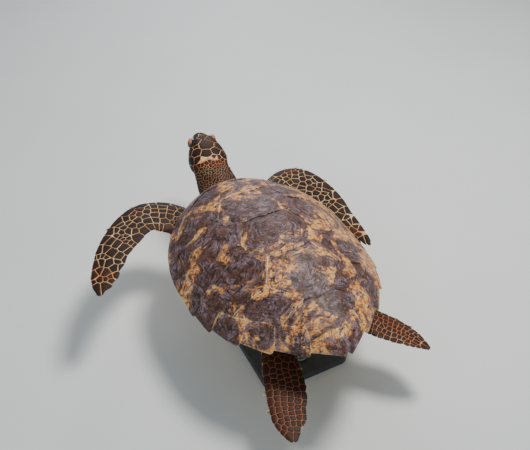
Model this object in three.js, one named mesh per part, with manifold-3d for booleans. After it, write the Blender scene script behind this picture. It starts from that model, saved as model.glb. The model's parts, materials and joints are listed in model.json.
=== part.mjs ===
// Hawksbill sea turtle, life-size and still, swimming level on a plain display stand.
// Millimetres. +Z is up, +Y runs toward the head and +X is the turtle's right side.
// The shell is laid out by two numbers: along, from 0 at its front to 1 at its rear, and
// across, from -1 at the left margin to 1 at the right.
import * as THREE from 'three';
import { mergeVertices } from 'three/addons/utils/BufferGeometryUtils.js';
import Module from 'manifold-3d';

const wasm = await Module();
wasm.setup();

// Shell
const SHELL_LENGTH = 600;
const SHELL_HALF_WIDTH = 221;
const WIDEST_AT = 0.44;
const DOME_HEIGHT = 83;
const MARGIN_DROOP = 48;
const PLATE_THICKNESS = 6;
const PLATE_STEP = 3;
const GAP = 0.3;
const RIM_BAND = 26;
const RIM_BAND_REAR = 44;
const RIM_THICKNESS = 13;
const TOOTH = 7;
const TAIL_NOTCH = 7;

// Underside
const PLASTRON_LEVEL = -108;
const PLASTRON_THICKNESS = 8;
const PLASTRON_FRONT = 0.13;
const PLASTRON_REAR = 0.82;
const PLASTRON_HALF_WIDTH = 158;
const PLASTRON_REAR_RISE = 42;

// Trunk, the flesh between the shell and the plastron
const TRUNK_FRONT = 0.035;
const TRUNK_REAR = 0.9;
const TRUNK_INNER_LEAST = 70;
const CLEAR = 2.2;

// Stand
const BODY_HEIGHT = 230;
const BASE_SIZE = { x: 210, y: 330, z: 16 };
const BASE_CORNER = 24;
const ROD_RADIUS = 9;
const ROD_ALONG = [105, -115];

// Where one marginal plate ends and the next begins, along the outline.
const NUCHAL_TIP = 0.0005;
const NUCHAL_CORNER = 0.01;
const MARGINAL_ENDS = [0.022, 0.055, 0.11, 0.185, 0.27, 0.36, 0.455, 0.55, 0.648, 0.76, 0.853, 0.932, 1];

// Vertebral plates: where they meet on the midline, and how far out their corners reach.
const SPINE_SEAMS = [0.2, 0.38, 0.575, 0.775];
const SPINE_CORNERS = [0.28, 0.25, 0.22, 0.2];
const SIDE_SEAMS = [0.3, 0.49, 0.672];
const SIDE_CORNERS = [0.41, 0.36, 0.41];
const SEAM_POINT = 0.016;
const COSTAL_ENDS = [0.055, 0.27, 0.55, 0.695, 0.88];

// Head, measured along its own axis from the back of the skull to the tip of the beak.
const HEAD = {
  length: 157,
  at: [7.5, 369, -16],
  turn: -9,
  nod: 7,
  tilt: -1,
  eye: { along: 0.69, out: 25, up: 13, radius: 13 },
};
// along, half width, height above the axis, depth below it
const HEAD_FORM = [
  [0, 35, 26, 28],
  [0.1, 44, 34, 36],
  [0.26, 49, 38, 39],
  [0.42, 47.5, 39, 38],
  [0.56, 41, 37, 33.5],
  [0.7, 32, 30.5, 29],
  [0.82, 22.5, 22, 25],
  [0.91, 15, 13.5, 21],
  [0.97, 8.5, 6, 18],
  [1, 3.5, 0, 16],
];
const MOUTH_UP = -13;
const TAIL = { root: { y: -190, z: -50, radius: 20 }, tip: { y: -258, z: -38, radius: 3.5 } };
// The neck's middle line as far as the skull, and its form in the order of the head's.
const NECK_MIDDLE = [[0, 232, -54], [3, 288, -50], [7, 335, -38]];
const NECK_FORM = [
  [0, 54, 36, 36],
  [0.35, 55, 38, 42],
  [0.65, 53, 36, 40],
  [1, 46, 33, 34],
];
const BEAK_UPPER_FROM = 0.73;
const BEAK_LOWER_FROM = 0.68;

// A blade's form: along, half chord, half thickness.
const FRONT_FORM = [
  [0, 38, 23],
  [0.14, 44, 21],
  [0.3, 50, 16],
  [0.46, 47, 11],
  [0.64, 39, 7.5],
  [0.82, 29, 5],
  [0.94, 17, 3.4],
  [1, 6, 2],
];
const HIND_FORM = [
  [0, 30, 18],
  [0.25, 38, 15],
  [0.5, 42, 9],
  [0.72, 36, 5.5],
  [0.9, 22, 3.6],
  [1, 8, 2],
];
const CLAW = { radius: 3.4, length: 17 };
// Each pose: points along the blade's middle, and the roll that lifts the leading edge.
const FRONT_LEFT = {
  middle: [
    [-94, 182, -64], [-134, 276, -50], [-202, 300, -34],
    [-296, 230, -28], [-352, 148, -32], [-376, 106, -36],
  ],
  side: -1,
  roll: [4, 0],
};
const FRONT_RIGHT = {
  middle: [[96, 182, -64], [142, 262, -62], [200, 286, -58], [234, 204, -60], [236, 94, -62], [244, -6, -58]],
  side: 1,
  roll: [6, 14],
};
const HIND_LEFT = {
  middle: [[-58, -122, -68], [-86, -172, -84], [-111, -248, -98], [-138, -316, -102], [-152, -360, -104]],
  side: -1,
  roll: [0, 0],
};
const HIND_RIGHT = {
  middle: [[60, -116, -68], [112, -160, -86], [160, -212, -97], [190, -256, -101], [210, -296, -104]],
  side: 1,
  roll: [0, -24],
};

const vec = (x, y, z) => new THREE.Vector3(x, y, z);
const lerp = THREE.MathUtils.lerp;
const clamp01 = (value) => THREE.MathUtils.clamp(value, 0, 1);
const smooth = (value, from, to) => THREE.MathUtils.smoothstep(value, from, to);
const steps = (count) => Array.from({ length: count + 1 }, (_, i) => i / count);

// Value from a table of [along, a, b, ...] rows, eased through its rows.
function fromTable(rows, along, column) {
  const last = rows.length - 2;
  const i = Math.min(last, Math.max(0, rows.findIndex((row) => row[0] > along) - 1));
  const row = along >= 1 ? last : i;
  const span = rows[row + 1][0] - rows[row][0];
  const part = clamp01((along - rows[row][0]) / span);
  return lerp(rows[row][column], rows[row + 1][column], part);
}

function solid(geometry) {
  geometry.deleteAttribute('normal');
  geometry.deleteAttribute('uv');
  const welded = mergeVertices(geometry, 1e-4);
  const triVerts = new Uint32Array(welded.index.array);
  const vertProperties = new Float32Array(welded.attributes.position.array);
  const made = new wasm.Manifold(new wasm.Mesh({ numProp: 3, vertProperties, triVerts }));
  if (made.volume() > 0) return made;
  for (let i = 0; i < triVerts.length; i += 3) {
    [triVerts[i], triVerts[i + 1]] = [triVerts[i + 1], triVerts[i]];
  }
  return new wasm.Manifold(new wasm.Mesh({ numProp: 3, vertProperties, triVerts }));
}

function surface(points, faces) {
  const geometry = new THREE.BufferGeometry();
  const flat = points.flatMap((p) => [p.x, p.y, p.z]);
  geometry.setAttribute('position', new THREE.Float32BufferAttribute(flat, 3));
  geometry.setIndex(faces);
  return geometry;
}

// A closed body through a row of rings that all have the same number of points.
function loft(rings) {
  const count = rings[0].length;
  const points = rings.flat();
  const faces = [];
  for (let r = 0; r < rings.length - 1; r++) {
    for (let i = 0; i < count; i++) {
      const a = r * count + i;
      const b = r * count + ((i + 1) % count);
      faces.push(a, b, b + count, a, b + count, a + count);
    }
  }
  const ends = [rings[0], rings[rings.length - 1]];
  ends.forEach((ring, end) => {
    const middle = ring.reduce((sum, p) => sum.add(p), vec(0, 0, 0)).divideScalar(count);
    const first = end * (rings.length - 1) * count;
    for (let i = 0; i < count; i++) {
      const a = first + i;
      const b = first + ((i + 1) % count);
      if (end) faces.push(a, b, points.length);
      else faces.push(b, a, points.length);
    }
    points.push(middle);
  });
  return solid(surface(points, faces));
}

// The shell's outline and dome

function halfWidth(along) {
  if (along < WIDEST_AT) {
    const part = (WIDEST_AT - along) / WIDEST_AT;
    return SHELL_HALF_WIDTH * (1 - part ** 2.4) ** 0.6;
  }
  const part = (along - WIDEST_AT) / (1 - WIDEST_AT);
  return SHELL_HALF_WIDTH * (1 - Math.min(1, part) ** 2.65) ** 0.962;
}

const marginHeight = (along) => -MARGIN_DROOP * Math.sin(Math.PI * clamp01(along));

function crestHeight(along) {
  return DOME_HEIGHT * Math.max(0, Math.sin(Math.PI * clamp01(along) ** 0.85)) ** 0.8;
}

function domeHeight(along, across) {
  const out = Math.min(1, Math.abs(across));
  const rise = 0.93 * (1 - out ** 2.1) ** 0.95 + 0.07 * (1 - out);
  return lerp(marginHeight(along), crestHeight(along), rise);
}

const yAt = (along) => (0.5 - along) * SHELL_LENGTH;
const alongAt = (y) => 0.5 - y / SHELL_LENGTH;
const plan = (along, across) => vec(across * halfWidth(along), yAt(along), 0);

function domeAt(x, y) {
  const along = clamp01(alongAt(y));
  return domeHeight(along, x / Math.max(1, halfWidth(along)));
}

// The band of marginal plates: a point on its outer edge and one on its inner edge.
const outerEdge = (along) => plan(along, 1);

function innerEdge(along) {
  const outer = outerEdge(along);
  const inward = vec(0, 10, 0).sub(outer).normalize();
  const band = lerp(RIM_BAND, RIM_BAND_REAR, smooth(along, 0.5, 0.9));
  return outer.addScaledVector(inward, band);
}

// Places along the outline where the band is drawn: four to each marginal plate.
const RIM_STATIONS = MARGINAL_ENDS.slice(1).flatMap((end, i) => {
  const start = MARGINAL_ENDS[i];
  return [0, 1, 2, 3].map((k) => lerp(start, end, k / 4));
});
RIM_STATIONS.push(1);

function innerRun(from, to) {
  const inside = RIM_STATIONS.filter((s) => s > from + 1e-6 && s < to - 1e-6);
  return [from, ...inside, to].map(innerEdge);
}

function nearestStation(along) {
  const distance = (s) => Math.abs(s - along);
  return RIM_STATIONS.reduce((best, s) => (distance(s) < distance(best) ? s : best));
}

// Plates of the dome

const GRID_ALONG = steps(17).map((k) => lerp(k, (1 - Math.cos(Math.PI * k)) / 2, 0.6));
const GRID_ACROSS = steps(12).map((k) => Math.sin(Math.PI * (k - 0.5)));

// A curved slab that follows the dome; its top is raised by lift(along, across).
function domeSlab(lift, bottom) {
  const rings = GRID_ALONG.slice(1, -1).map((along) => {
    const y = yAt(along);
    const at = (across, z) => vec(across * halfWidth(along), y, domeHeight(along, across) + z);
    const top = GRID_ACROSS.map((across) => at(across, lift(along, across)));
    const under = [...GRID_ACROSS].reverse().map((across) => at(across, bottom));
    return [...top, ...under];
  });
  const cap = (ring, y) => ring.map((p) => vec(p.x * 0.35, y, p.z));
  return loft([cap(rings[0], yAt(0)), ...rings, cap(rings.at(-1), yAt(1))]);
}

// An upright block with the given outline, drawn in by half a gap on every side.
function block(outline, low, high) {
  const count = outline.length;
  const area = THREE.ShapeUtils.area(outline);
  const shrunk = outline.map((p, i) => {
    const before = outline[(i + count - 1) % count];
    const after = outline[(i + 1) % count];
    const run = vec(after.x - before.x, after.y - before.y, 0).normalize();
    const inward = vec(-run.y, run.x, 0).multiplyScalar(Math.sign(area));
    return new THREE.Vector2(p.x, p.y).addScaledVector(inward, GAP / 2);
  });
  const shape = new THREE.Shape(shrunk);
  const geometry = new THREE.ExtrudeGeometry(shape, { depth: high - low, bevelEnabled: false });
  geometry.translate(0, 0, low);
  return solid(geometry);
}

const mirrored = (outline) => outline.map((p) => vec(-p.x, p.y, 0)).reverse();

// Rear edge of a vertebral plate, from its right corner to its left, bowed to the rear.
function spineSeam(k) {
  const seam = SPINE_SEAMS[k];
  const corner = SPINE_CORNERS[k];
  return [plan(seam, corner), plan(seam + SEAM_POINT, 0), plan(seam, -corner)];
}

const sideCorner = (k, side) => plan(SIDE_SEAMS[k], side * SIDE_CORNERS[k]);

function nuchalOutline() {
  const rear = MARGINAL_ENDS[0];
  const right = [plan(NUCHAL_TIP, 1), outerEdge(NUCHAL_CORNER), outerEdge(rear), innerEdge(rear)];
  return [...mirrored(right), ...right];
}

function vertebralOutline(k) {
  if (k === 0) {
    const front = innerRun(MARGINAL_ENDS[0], COSTAL_STATIONS[0]);
    return [...mirrored(front), ...front, ...spineSeam(0)];
  }
  const front = spineSeam(k - 1).reverse();
  if (k === 4) {
    const rear = innerRun(COSTAL_STATIONS[4], 1);
    return [...front, ...rear, ...mirrored(rear).slice(1)];
  }
  return [...front, sideCorner(k - 1, 1), ...spineSeam(k), sideCorner(k - 1, -1)];
}

// A costal plate on the right: inner corners from front to rear, then its outer run.
function costalOutline(k) {
  const outer = innerRun(COSTAL_STATIONS[k], COSTAL_STATIONS[k + 1]).reverse();
  const inner = [plan(SPINE_SEAMS[k], SPINE_CORNERS[k])];
  if (k > 0) inner.unshift(sideCorner(k - 1, 1));
  if (k < 3) inner.push(sideCorner(k, 1));
  return [...inner, ...outer];
}

const COSTAL_STATIONS = COSTAL_ENDS.map(nearestStation);

// A plate: the outline cut from a slab that rises toward the plate's rear edge.
function plate(outline) {
  const ends = outline.map((p) => alongAt(p.y));
  const front = Math.min(...ends);
  const rear = Math.max(...ends);
  const lift = (along) => PLATE_STEP * clamp01((along - front) / (rear - front));
  return block(outline, -90, 120).intersect(domeSlab(lift, -PLATE_THICKNESS));
}

// The rim: marginal plates down one side, each ending in a backward-pointing tooth.

function rimSection(along, notch, grow) {
  const inner = innerEdge(along);
  const outer = outerEdge(along);
  const outward = outer.clone().sub(inner).normalize();
  outer.addScaledVector(outward, grow - notch);
  inner.addScaledVector(outward, GAP / 2 - grow);
  inner.x = Math.max(GAP / 2 - grow, inner.x);
  outer.x = Math.max(GAP / 2 - grow, outer.x);
  const at = (part, z) => {
    const p = inner.clone().lerp(outer, part);
    p.z = domeAt(p.x, p.y) + z;
    return p;
  };
  const up = grow + PLATE_STEP * 0.4;
  return [
    at(0, up),
    at(0.5, up),
    at(1, up),
    at(1, -5 - grow),
    at(0.55, -9 - grow),
    at(0, -RIM_THICKNESS - grow),
  ];
}

function rim(side, grow = 0) {
  const rings = [];
  MARGINAL_ENDS.slice(1).forEach((end, i) => {
    const start = MARGINAL_ENDS[i];
    const tooth = TOOTH * smooth(end, 0.4, 0.8);
    [0, 1, 2, 3, 4].forEach((k) => {
      const step = (end - start) / 4;
      const along = start + k * step + (k === 0 && i > 0 ? step * 0.08 : 0);
      const last = i === MARGINAL_ENDS.length - 2 && k === 4;
      const notch = last ? TAIL_NOTCH : tooth * (0.7 - (k / 4) ** 1.4);
      rings.push(rimSection(along, notch, grow));
    });
  });
  return loft(rings.map((ring) => ring.map((p) => vec(side * p.x, p.y, p.z))));
}

// The plastron, its wings rising to meet the rim at the bridge.

function plastronHalfWidth(along) {
  const front = smooth(along, PLASTRON_FRONT - 0.02, 0.34);
  const rear = 1 - smooth(along, 0.62, PLASTRON_REAR + 0.02);
  return 38 + (PLASTRON_HALF_WIDTH - 38) * front * rear;
}

function plastronHeight(x, along) {
  const wing = 40 * Math.min(1, Math.abs(x) / 170) ** 5;
  return PLASTRON_LEVEL + wing + PLASTRON_REAR_RISE * smooth(along, 0.4, 0.95);
}

function plastron(grow = 0) {
  const across = [-1, -0.86, -0.66, -0.4, 0, 0.4, 0.66, 0.86, 1];
  const rings = steps(14).map((k) => {
    const along = lerp(PLASTRON_FRONT - grow / SHELL_LENGTH, PLASTRON_REAR + grow / SHELL_LENGTH, k);
    const wide = plastronHalfWidth(along) + grow;
    const at = (part, z) => vec(part * wide, yAt(along), plastronHeight(part * wide, along) + z);
    const under = across.map((part) => at(part, -grow));
    const top = [...across].reverse().map((part) => at(part, PLASTRON_THICKNESS + grow));
    return [...under, ...top];
  });
  return loft(rings);
}

// The trunk fills the shell and bulges a little at the shoulders and hips.

function trunkBottom(along) {
  const front = 34 * (1 - smooth(along, 0.02, 0.17));
  const rear = 30 * smooth(along, 0.78, 0.97);
  return plastronHeight(0, along) + PLASTRON_THICKNESS + 2 * GAP + front + rear;
}

// How far the band's inner edge stands from the midline at a given y.
function bandInnerAt(y) {
  const edge = steps(60).map(innerEdge);
  const after = edge.findIndex((p) => p.y < y);
  if (after < 1) return 0;
  const [a, b] = [edge[after - 1], edge[after]];
  return lerp(a.x, b.x, (a.y - y) / (a.y - b.y));
}

function trunkRing(along) {
  const y = yAt(along);
  const outer = halfWidth(along);
  const inner = bandInnerAt(y);
  const underPlates = inner > TRUNK_INNER_LEAST;
  const shoulder = underPlates ? inner - 2 : outer * 0.6;
  const drop = underPlates ? PLATE_THICKNESS + CLEAR : RIM_THICKNESS + CLEAR;
  const below = (x, depth) => vec(x, y, domeAt(x, y) - depth);
  const low = trunkBottom(along);
  const wide = lerp(shoulder, outer, lerp(0.55, 0.1, smooth(along, 0.6, 0.85)));
  const flat = Math.min(plastronHalfWidth(along), shoulder * 0.9);
  const side = below(wide, RIM_THICKNESS + CLEAR);
  const wing = Math.max(low, plastronHeight(flat, along) + PLASTRON_THICKNESS + 4 * GAP);
  const half = [
    ...[0.25, 0.5, 0.75, 1].map((part) => below(part * shoulder, drop)),
    below(shoulder, RIM_THICKNESS + CLEAR),
    side,
    vec(lerp(flat, wide, 0.75), y, lerp(wing, side.z, 0.45)),
    vec(flat, y, wing),
    vec(flat * 0.6, y, low),
  ];
  const other = [...half].reverse().map((p) => vec(-p.x, p.y, p.z));
  return [below(0, drop), ...half, vec(0, y, low), ...other];
}

function trunk() {
  const count = 17;
  return loft(steps(count).map((k) => trunkRing(lerp(TRUNK_FRONT, TRUNK_REAR, k))));
}

// Round bodies: a ring about a centre, with its own width, height above and depth below.
function roundRing(centre, right, up, sizes, count, power = 2.3) {
  return steps(count).slice(0, count).map((k) => {
    const angle = 2 * Math.PI * k;
    const c = Math.cos(angle);
    const s = Math.sin(angle);
    const out = sizes[0] * Math.sign(c) * Math.abs(c) ** (2 / power);
    const rise = (s > 0 ? sizes[1] : sizes[2]) * Math.sign(s) * Math.abs(s) ** (2 / power);
    return centre.clone().addScaledVector(right, out).addScaledVector(up, rise);
  });
}

const headTurn = new THREE.Matrix4()
  .makeTranslation(...HEAD.at)
  .multiply(new THREE.Matrix4().makeRotationZ(THREE.MathUtils.degToRad(HEAD.turn)))
  .multiply(new THREE.Matrix4().makeRotationX(THREE.MathUtils.degToRad(HEAD.nod)))
  .multiply(new THREE.Matrix4().makeRotationY(THREE.MathUtils.degToRad(HEAD.tilt)));
const headPoint = (x, along, z) => vec(x, along * HEAD.length, z).applyMatrix4(headTurn);

function headBody(grow = 0) {
  const last = HEAD_FORM.length - 1;
  const rings = HEAD_FORM.map(([along, wide, high, deep], i) => {
    const shift = (i === 0 ? -grow : 0) + (i === last ? grow : 0);
    const sizes = [wide + grow, high + grow, deep + grow];
    const ring = roundRing(vec(0, 0, 0), vec(1, 0, 0), vec(0, 0, 1), sizes, 20);
    return ring.map((p) => headPoint(p.x, along + shift / HEAD.length, p.z));
  });
  return loft(rings);
}

// A box in the head's own directions, used to part the horny beak from the skin.
function headBox(from, to, low, high) {
  const long = (to - from) * HEAD.length;
  const geometry = new THREE.BoxGeometry(120, long, high - low);
  geometry.translate(0, from * HEAD.length + long / 2, (low + high) / 2);
  geometry.applyMatrix4(headTurn);
  return solid(geometry);
}

function eyeBall(side, grow = 0) {
  const geometry = new THREE.SphereGeometry(HEAD.eye.radius + grow, 14, 9);
  const centre = headPoint(side * HEAD.eye.out, HEAD.eye.along, HEAD.eye.up);
  geometry.translate(centre.x, centre.y, centre.z);
  return solid(geometry);
}

function neck(grow = 0) {
  const back = headPoint(0, 0.1, -2);
  const curve = new THREE.CatmullRomCurve3([...NECK_MIDDLE.map((p) => vec(...p)), back]);
  const rings = steps(9).map((k) => {
    const forward = curve.getTangent(k);
    const right = forward.clone().cross(vec(0, 0, 1)).normalize();
    const up = right.clone().cross(forward);
    const sizes = [1, 2, 3].map((column) => fromTable(NECK_FORM, k, column) + grow);
    return roundRing(curve.getPoint(k), right, up, sizes, 16, 2);
  });
  return loft(rings);
}

function tail(grow = 0) {
  const rings = steps(5).map((k) => {
    const size = lerp(TAIL.root.radius, TAIL.tip.radius, k) + grow;
    const centre = vec(0, lerp(TAIL.root.y, TAIL.tip.y, k), lerp(TAIL.root.z, TAIL.tip.z, k));
    return roundRing(centre, vec(1, 0, 0), vec(0, 0, 1), [size, size * 0.8, size * 0.8], 12, 2);
  });
  return loft(rings);
}

// Blades of the flippers

function bladeFrame(pose, k) {
  const curve = new THREE.CatmullRomCurve3(pose.middle.map((p) => vec(...p)));
  const point = curve.getPoint(k);
  const forward = curve.getTangent(k);
  const lead = vec(-forward.y, forward.x, 0).multiplyScalar(pose.side).normalize();
  const roll = THREE.MathUtils.degToRad(lerp(pose.roll[0], pose.roll[1], k));
  const up = lead.clone().cross(forward).normalize();
  if (up.z < 0) up.negate();
  const turned = lead.clone().multiplyScalar(Math.cos(roll)).addScaledVector(up, Math.sin(roll));
  up.multiplyScalar(Math.cos(roll)).addScaledVector(lead, -Math.sin(roll));
  return { point, lead: turned, up };
}

function blade(pose, form, grow = 0) {
  const count = 14;
  const rings = steps(12).map((k) => {
    const { point, lead, up } = bladeFrame(pose, k);
    const chord = fromTable(form, k, 1) + grow;
    const thick = fromTable(form, k, 2);
    return steps(count).slice(0, count).map((turn) => {
      const angle = 2 * Math.PI * turn;
      const ahead = Math.cos(angle);
      const rise = Math.sin(angle) * (0.78 + 0.3 * ahead) * thick + Math.sign(Math.sin(angle)) * grow;
      return point.clone().addScaledVector(lead, ahead * chord).addScaledVector(up, rise);
    });
  });
  return loft(rings);
}

// A claw on the leading edge: a short cone, pointing out and toward the tip.
function claw(pose, form, along, grow = 0) {
  const { point, lead } = bladeFrame(pose, along);
  const next = bladeFrame(pose, Math.min(1, along + 0.05)).point;
  const toTip = next.sub(point).normalize();
  const chord = fromTable(form, along, 1);
  const aim = lead.clone().addScaledVector(toTip, 0.8).normalize();
  const root = point.clone().addScaledVector(lead, chord - 7);
  const geometry = new THREE.ConeGeometry(CLAW.radius + grow, CLAW.length + 2 * grow, 12);
  geometry.translate(0, CLAW.length / 2, 0);
  geometry.applyQuaternion(new THREE.Quaternion().setFromUnitVectors(vec(0, 1, 0), aim));
  geometry.translate(root.x, root.y, root.z);
  return solid(geometry);
}

// Stand

function standBase() {
  const x = BASE_SIZE.x / 2 - BASE_CORNER;
  const y = BASE_SIZE.y / 2 - BASE_CORNER;
  const shape = new THREE.Shape();
  shape.absarc(x, y, BASE_CORNER, 0, Math.PI / 2);
  shape.absarc(-x, y, BASE_CORNER, Math.PI / 2, Math.PI);
  shape.absarc(-x, -y, BASE_CORNER, Math.PI, 1.5 * Math.PI);
  shape.absarc(x, -y, BASE_CORNER, 1.5 * Math.PI, 2 * Math.PI);
  const thick = { depth: BASE_SIZE.z, bevelEnabled: false, curveSegments: 6 };
  const geometry = new THREE.ExtrudeGeometry(shape, thick);
  geometry.translate(0, 0, -BODY_HEIGHT);
  return solid(geometry);
}

// A rod rises into the plastron's thickness and is cut off along its underside.
function standRod(y) {
  const low = -BODY_HEIGHT + BASE_SIZE.z + GAP;
  const high = plastronHeight(0, alongAt(y)) + PLASTRON_THICKNESS / 2;
  const geometry = new THREE.CylinderGeometry(ROD_RADIUS, ROD_RADIUS, high - low, 24);
  geometry.rotateX(Math.PI / 2);
  geometry.translate(0, y, (low + high) / 2);
  return solid(geometry).subtract(plastron(GAP));
}

// Materials

const colour = (hex, roughness) => ({ color: new THREE.Color(hex), roughness });
const SKIN = colour('#4a3426', 0.6);
const PLATE = colour('#6b4a33', 0.35);
const HORN = colour('#8a6a42', 0.4);
const BELLY = colour('#d9c48c', 0.45);
const EYE = colour('#120d0a', 0.1);
const STAND = colour('#2b2c2e', 0.5);

// Assembly

const parts = new Map();
const put = (name, body, look) => parts.set(name, { body, look });

// The body left when others are cut from it, without any crumbs cut loose.
function without(body, others) {
  const left = others.reduce((rest, other) => rest.subtract(other), body);
  return left.decompose().reduce((most, piece) => (piece.volume() > most.volume() ? piece : most));
}

put('nuchal', plate(nuchalOutline()), PLATE);
[0, 1, 2, 3, 4].forEach((k) => put(`vertebral_${k + 1}`, plate(vertebralOutline(k)), PLATE));
[0, 1, 2, 3].forEach((k) => {
  put(`costal_right_${k + 1}`, plate(costalOutline(k)), PLATE);
  put(`costal_left_${k + 1}`, plate(mirrored(costalOutline(k))), PLATE);
});
put('rim_right', rim(1), PLATE);
put('rim_left', rim(-1), PLATE);
put('plastron', plastron(), BELLY);

// What no soft part may enter: the dome's plates, the rims and the plastron, each grown by a gap.
const shellGuard = domeSlab(() => PLATE_STEP + 4, -PLATE_THICKNESS - GAP);
const hardGuards = [shellGuard, rim(1, GAP), rim(-1, GAP), plastron(GAP)];

const limbs = [
  { name: 'flipper_front_left', pose: FRONT_LEFT, form: FRONT_FORM, claws: [0.4, 0.52] },
  { name: 'flipper_front_right', pose: FRONT_RIGHT, form: FRONT_FORM, claws: [0.4, 0.52] },
  { name: 'flipper_hind_left', pose: HIND_LEFT, form: HIND_FORM, claws: [0.5, 0.64] },
  { name: 'flipper_hind_right', pose: HIND_RIGHT, form: HIND_FORM, claws: [0.5, 0.64] },
];
limbs.forEach(({ name, pose, form, claws }) => {
  const clawName = name.replace('flipper', 'claw');
  claws.forEach((along, i) => put(`${clawName}_${i + 1}`, claw(pose, form, along), HORN));
  const sockets = claws.map((along) => claw(pose, form, along, GAP));
  put(name, without(blade(pose, form), [...hardGuards, ...sockets]), SKIN);
});

const eyes = [-1, 1];
eyes.forEach((side) => put(side < 0 ? 'eye_left' : 'eye_right', eyeBall(side), EYE));
const upperBeak = headBox(BEAK_UPPER_FROM, 1.3, MOUTH_UP, 80);
const lowerBeak = headBox(BEAK_LOWER_FROM, 1.3, -80, MOUTH_UP - GAP);
const behindBeak = [
  headBox(BEAK_UPPER_FROM - GAP / HEAD.length, 1.4, MOUTH_UP - GAP, 90),
  headBox(BEAK_LOWER_FROM - GAP / HEAD.length, 1.4, -90, MOUTH_UP),
];
const skull = without(headBody(), eyes.map((side) => eyeBall(side, GAP)));
put('beak_upper', skull.intersect(upperBeak), HORN);
put('beak_lower', skull.intersect(lowerBeak), HORN);
put('head', without(skull, behindBeak), SKIN);
put('neck', without(neck(), [...hardGuards, headBody(GAP)]), SKIN);
put('tail', without(tail(), hardGuards), SKIN);

const sunk = limbs.map(({ pose, form }) => blade(pose, form, GAP));
put('trunk', without(trunk(), [...hardGuards, ...sunk, neck(GAP), tail(GAP)]), SKIN);

put('stand_base', standBase(), STAND);
put('stand_rod_front', standRod(ROD_ALONG[0]), STAND);
put('stand_rod_rear', standRod(ROD_ALONG[1]), STAND);

// The model rests with the middle of its bounding box over the origin.
const bounds = new THREE.Box3();
parts.forEach(({ body }) => {
  const box = body.boundingBox();
  bounds.expandByPoint(vec(...box.min)).expandByPoint(vec(...box.max));
});
const shift = [-(bounds.min.x + bounds.max.x) / 2, -(bounds.min.y + bounds.max.y) / 2, -bounds.min.z];

const turtle = new THREE.Group();
turtle.name = 'hawksbill_sea_turtle';
parts.forEach(({ body, look }, name) => {
  const { vertProperties, triVerts } = body.translate(shift).getMesh();
  const geometry = new THREE.BufferGeometry();
  geometry.setAttribute('position', new THREE.BufferAttribute(new Float32Array(vertProperties), 3));
  geometry.setIndex(new THREE.BufferAttribute(new Uint32Array(triVerts), 1));
  geometry.computeVertexNormals();
  const mesh = new THREE.Mesh(geometry, new THREE.MeshStandardMaterial(look));
  mesh.name = name;
  turtle.add(mesh);
});

export default turtle;
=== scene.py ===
# %% [markdown]
# # A hawksbill sea turtle on a display stand
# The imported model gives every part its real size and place, in metres: +Y runs to the head,
# +X is the turtle's right side and +Z is up. This script keeps those places and makes the
# surfaces: horny shell plates, one skin with scales laid over it, eyes, beak and claws.

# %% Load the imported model
import json
import math
import random

import bmesh
import bpy
import numpy as np
from mathutils import Matrix, Vector, kdtree, noise

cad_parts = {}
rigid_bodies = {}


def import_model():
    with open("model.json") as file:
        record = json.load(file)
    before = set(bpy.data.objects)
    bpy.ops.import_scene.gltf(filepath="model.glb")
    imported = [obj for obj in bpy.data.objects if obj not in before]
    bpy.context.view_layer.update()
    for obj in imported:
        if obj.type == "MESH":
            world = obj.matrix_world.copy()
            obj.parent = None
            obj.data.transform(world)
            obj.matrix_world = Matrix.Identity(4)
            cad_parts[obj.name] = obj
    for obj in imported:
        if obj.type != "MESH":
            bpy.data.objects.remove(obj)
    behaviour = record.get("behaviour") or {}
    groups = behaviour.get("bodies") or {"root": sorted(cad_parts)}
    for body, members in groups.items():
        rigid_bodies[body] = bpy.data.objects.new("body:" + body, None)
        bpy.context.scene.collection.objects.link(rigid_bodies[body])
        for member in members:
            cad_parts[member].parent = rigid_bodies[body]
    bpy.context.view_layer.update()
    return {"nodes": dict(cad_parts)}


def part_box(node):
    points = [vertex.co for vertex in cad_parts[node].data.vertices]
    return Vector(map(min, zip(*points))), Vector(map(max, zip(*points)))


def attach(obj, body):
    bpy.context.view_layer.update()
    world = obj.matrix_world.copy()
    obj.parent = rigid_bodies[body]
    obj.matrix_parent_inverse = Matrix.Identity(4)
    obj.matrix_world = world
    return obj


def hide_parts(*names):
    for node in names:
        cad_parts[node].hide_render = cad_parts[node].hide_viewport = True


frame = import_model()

print("packed parts:", len(frame["nodes"]))

# %% [markdown]
# Every camera, lamp, floor and piece is an object in the scene, so one helper adds them all.

# %% Helper for objects
def new_object(name, data):
    item = bpy.data.objects.new(name, data)
    bpy.context.scene.collection.objects.link(item)
    return item


# %% [markdown]
# The shell is drawn about its own middle, so every formula below is written from there.
# The imported parts say where that middle lies across and along: midway across the plastron,
# and half a shell length behind the nuchal plate's front edge. Its height, the stand's height,
# is a given number.

# %% Find the middle of the shell
MM = 0.001
SHELL_LENGTH = 0.600
BODY_HEIGHT = 0.230

low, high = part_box("plastron")
front_of_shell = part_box("nuchal")[1].y
BODY = Vector(((low.x + high.x) / 2, front_of_shell - SHELL_LENGTH / 2, BODY_HEIGHT))
print("middle of the shell:", [round(value, 4) for value in BODY])

# %% [markdown]
# The camera looks down over the turtle's tail and left side. Its turn and drop fix the
# direction of sight, and its lens the width of the view. Nothing is shifted.

# %% Camera
VIEW_TURN = math.radians(-27.06)
VIEW_DROP = math.radians(41.55)
EYE_POINT = BODY + Vector((-0.5470, -1.0098, 1.1168))

camera_data = bpy.data.cameras.new("camera")
camera_data.lens = 49.45
camera_data.sensor_width = 36
camera = new_object("camera", camera_data)
camera.location = EYE_POINT
camera.rotation_euler = (math.pi / 2 - VIEW_DROP, 0, VIEW_TURN)
bpy.context.scene.camera = camera
print("camera at", [round(value, 3) for value in camera.location])

# %% [markdown]
# Museum light is soft: a key lamp high over the turtle's right side, a wide weak fill from
# behind on the left, a rim lamp in front, and an even pale sky that keeps the shadows open.

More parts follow.
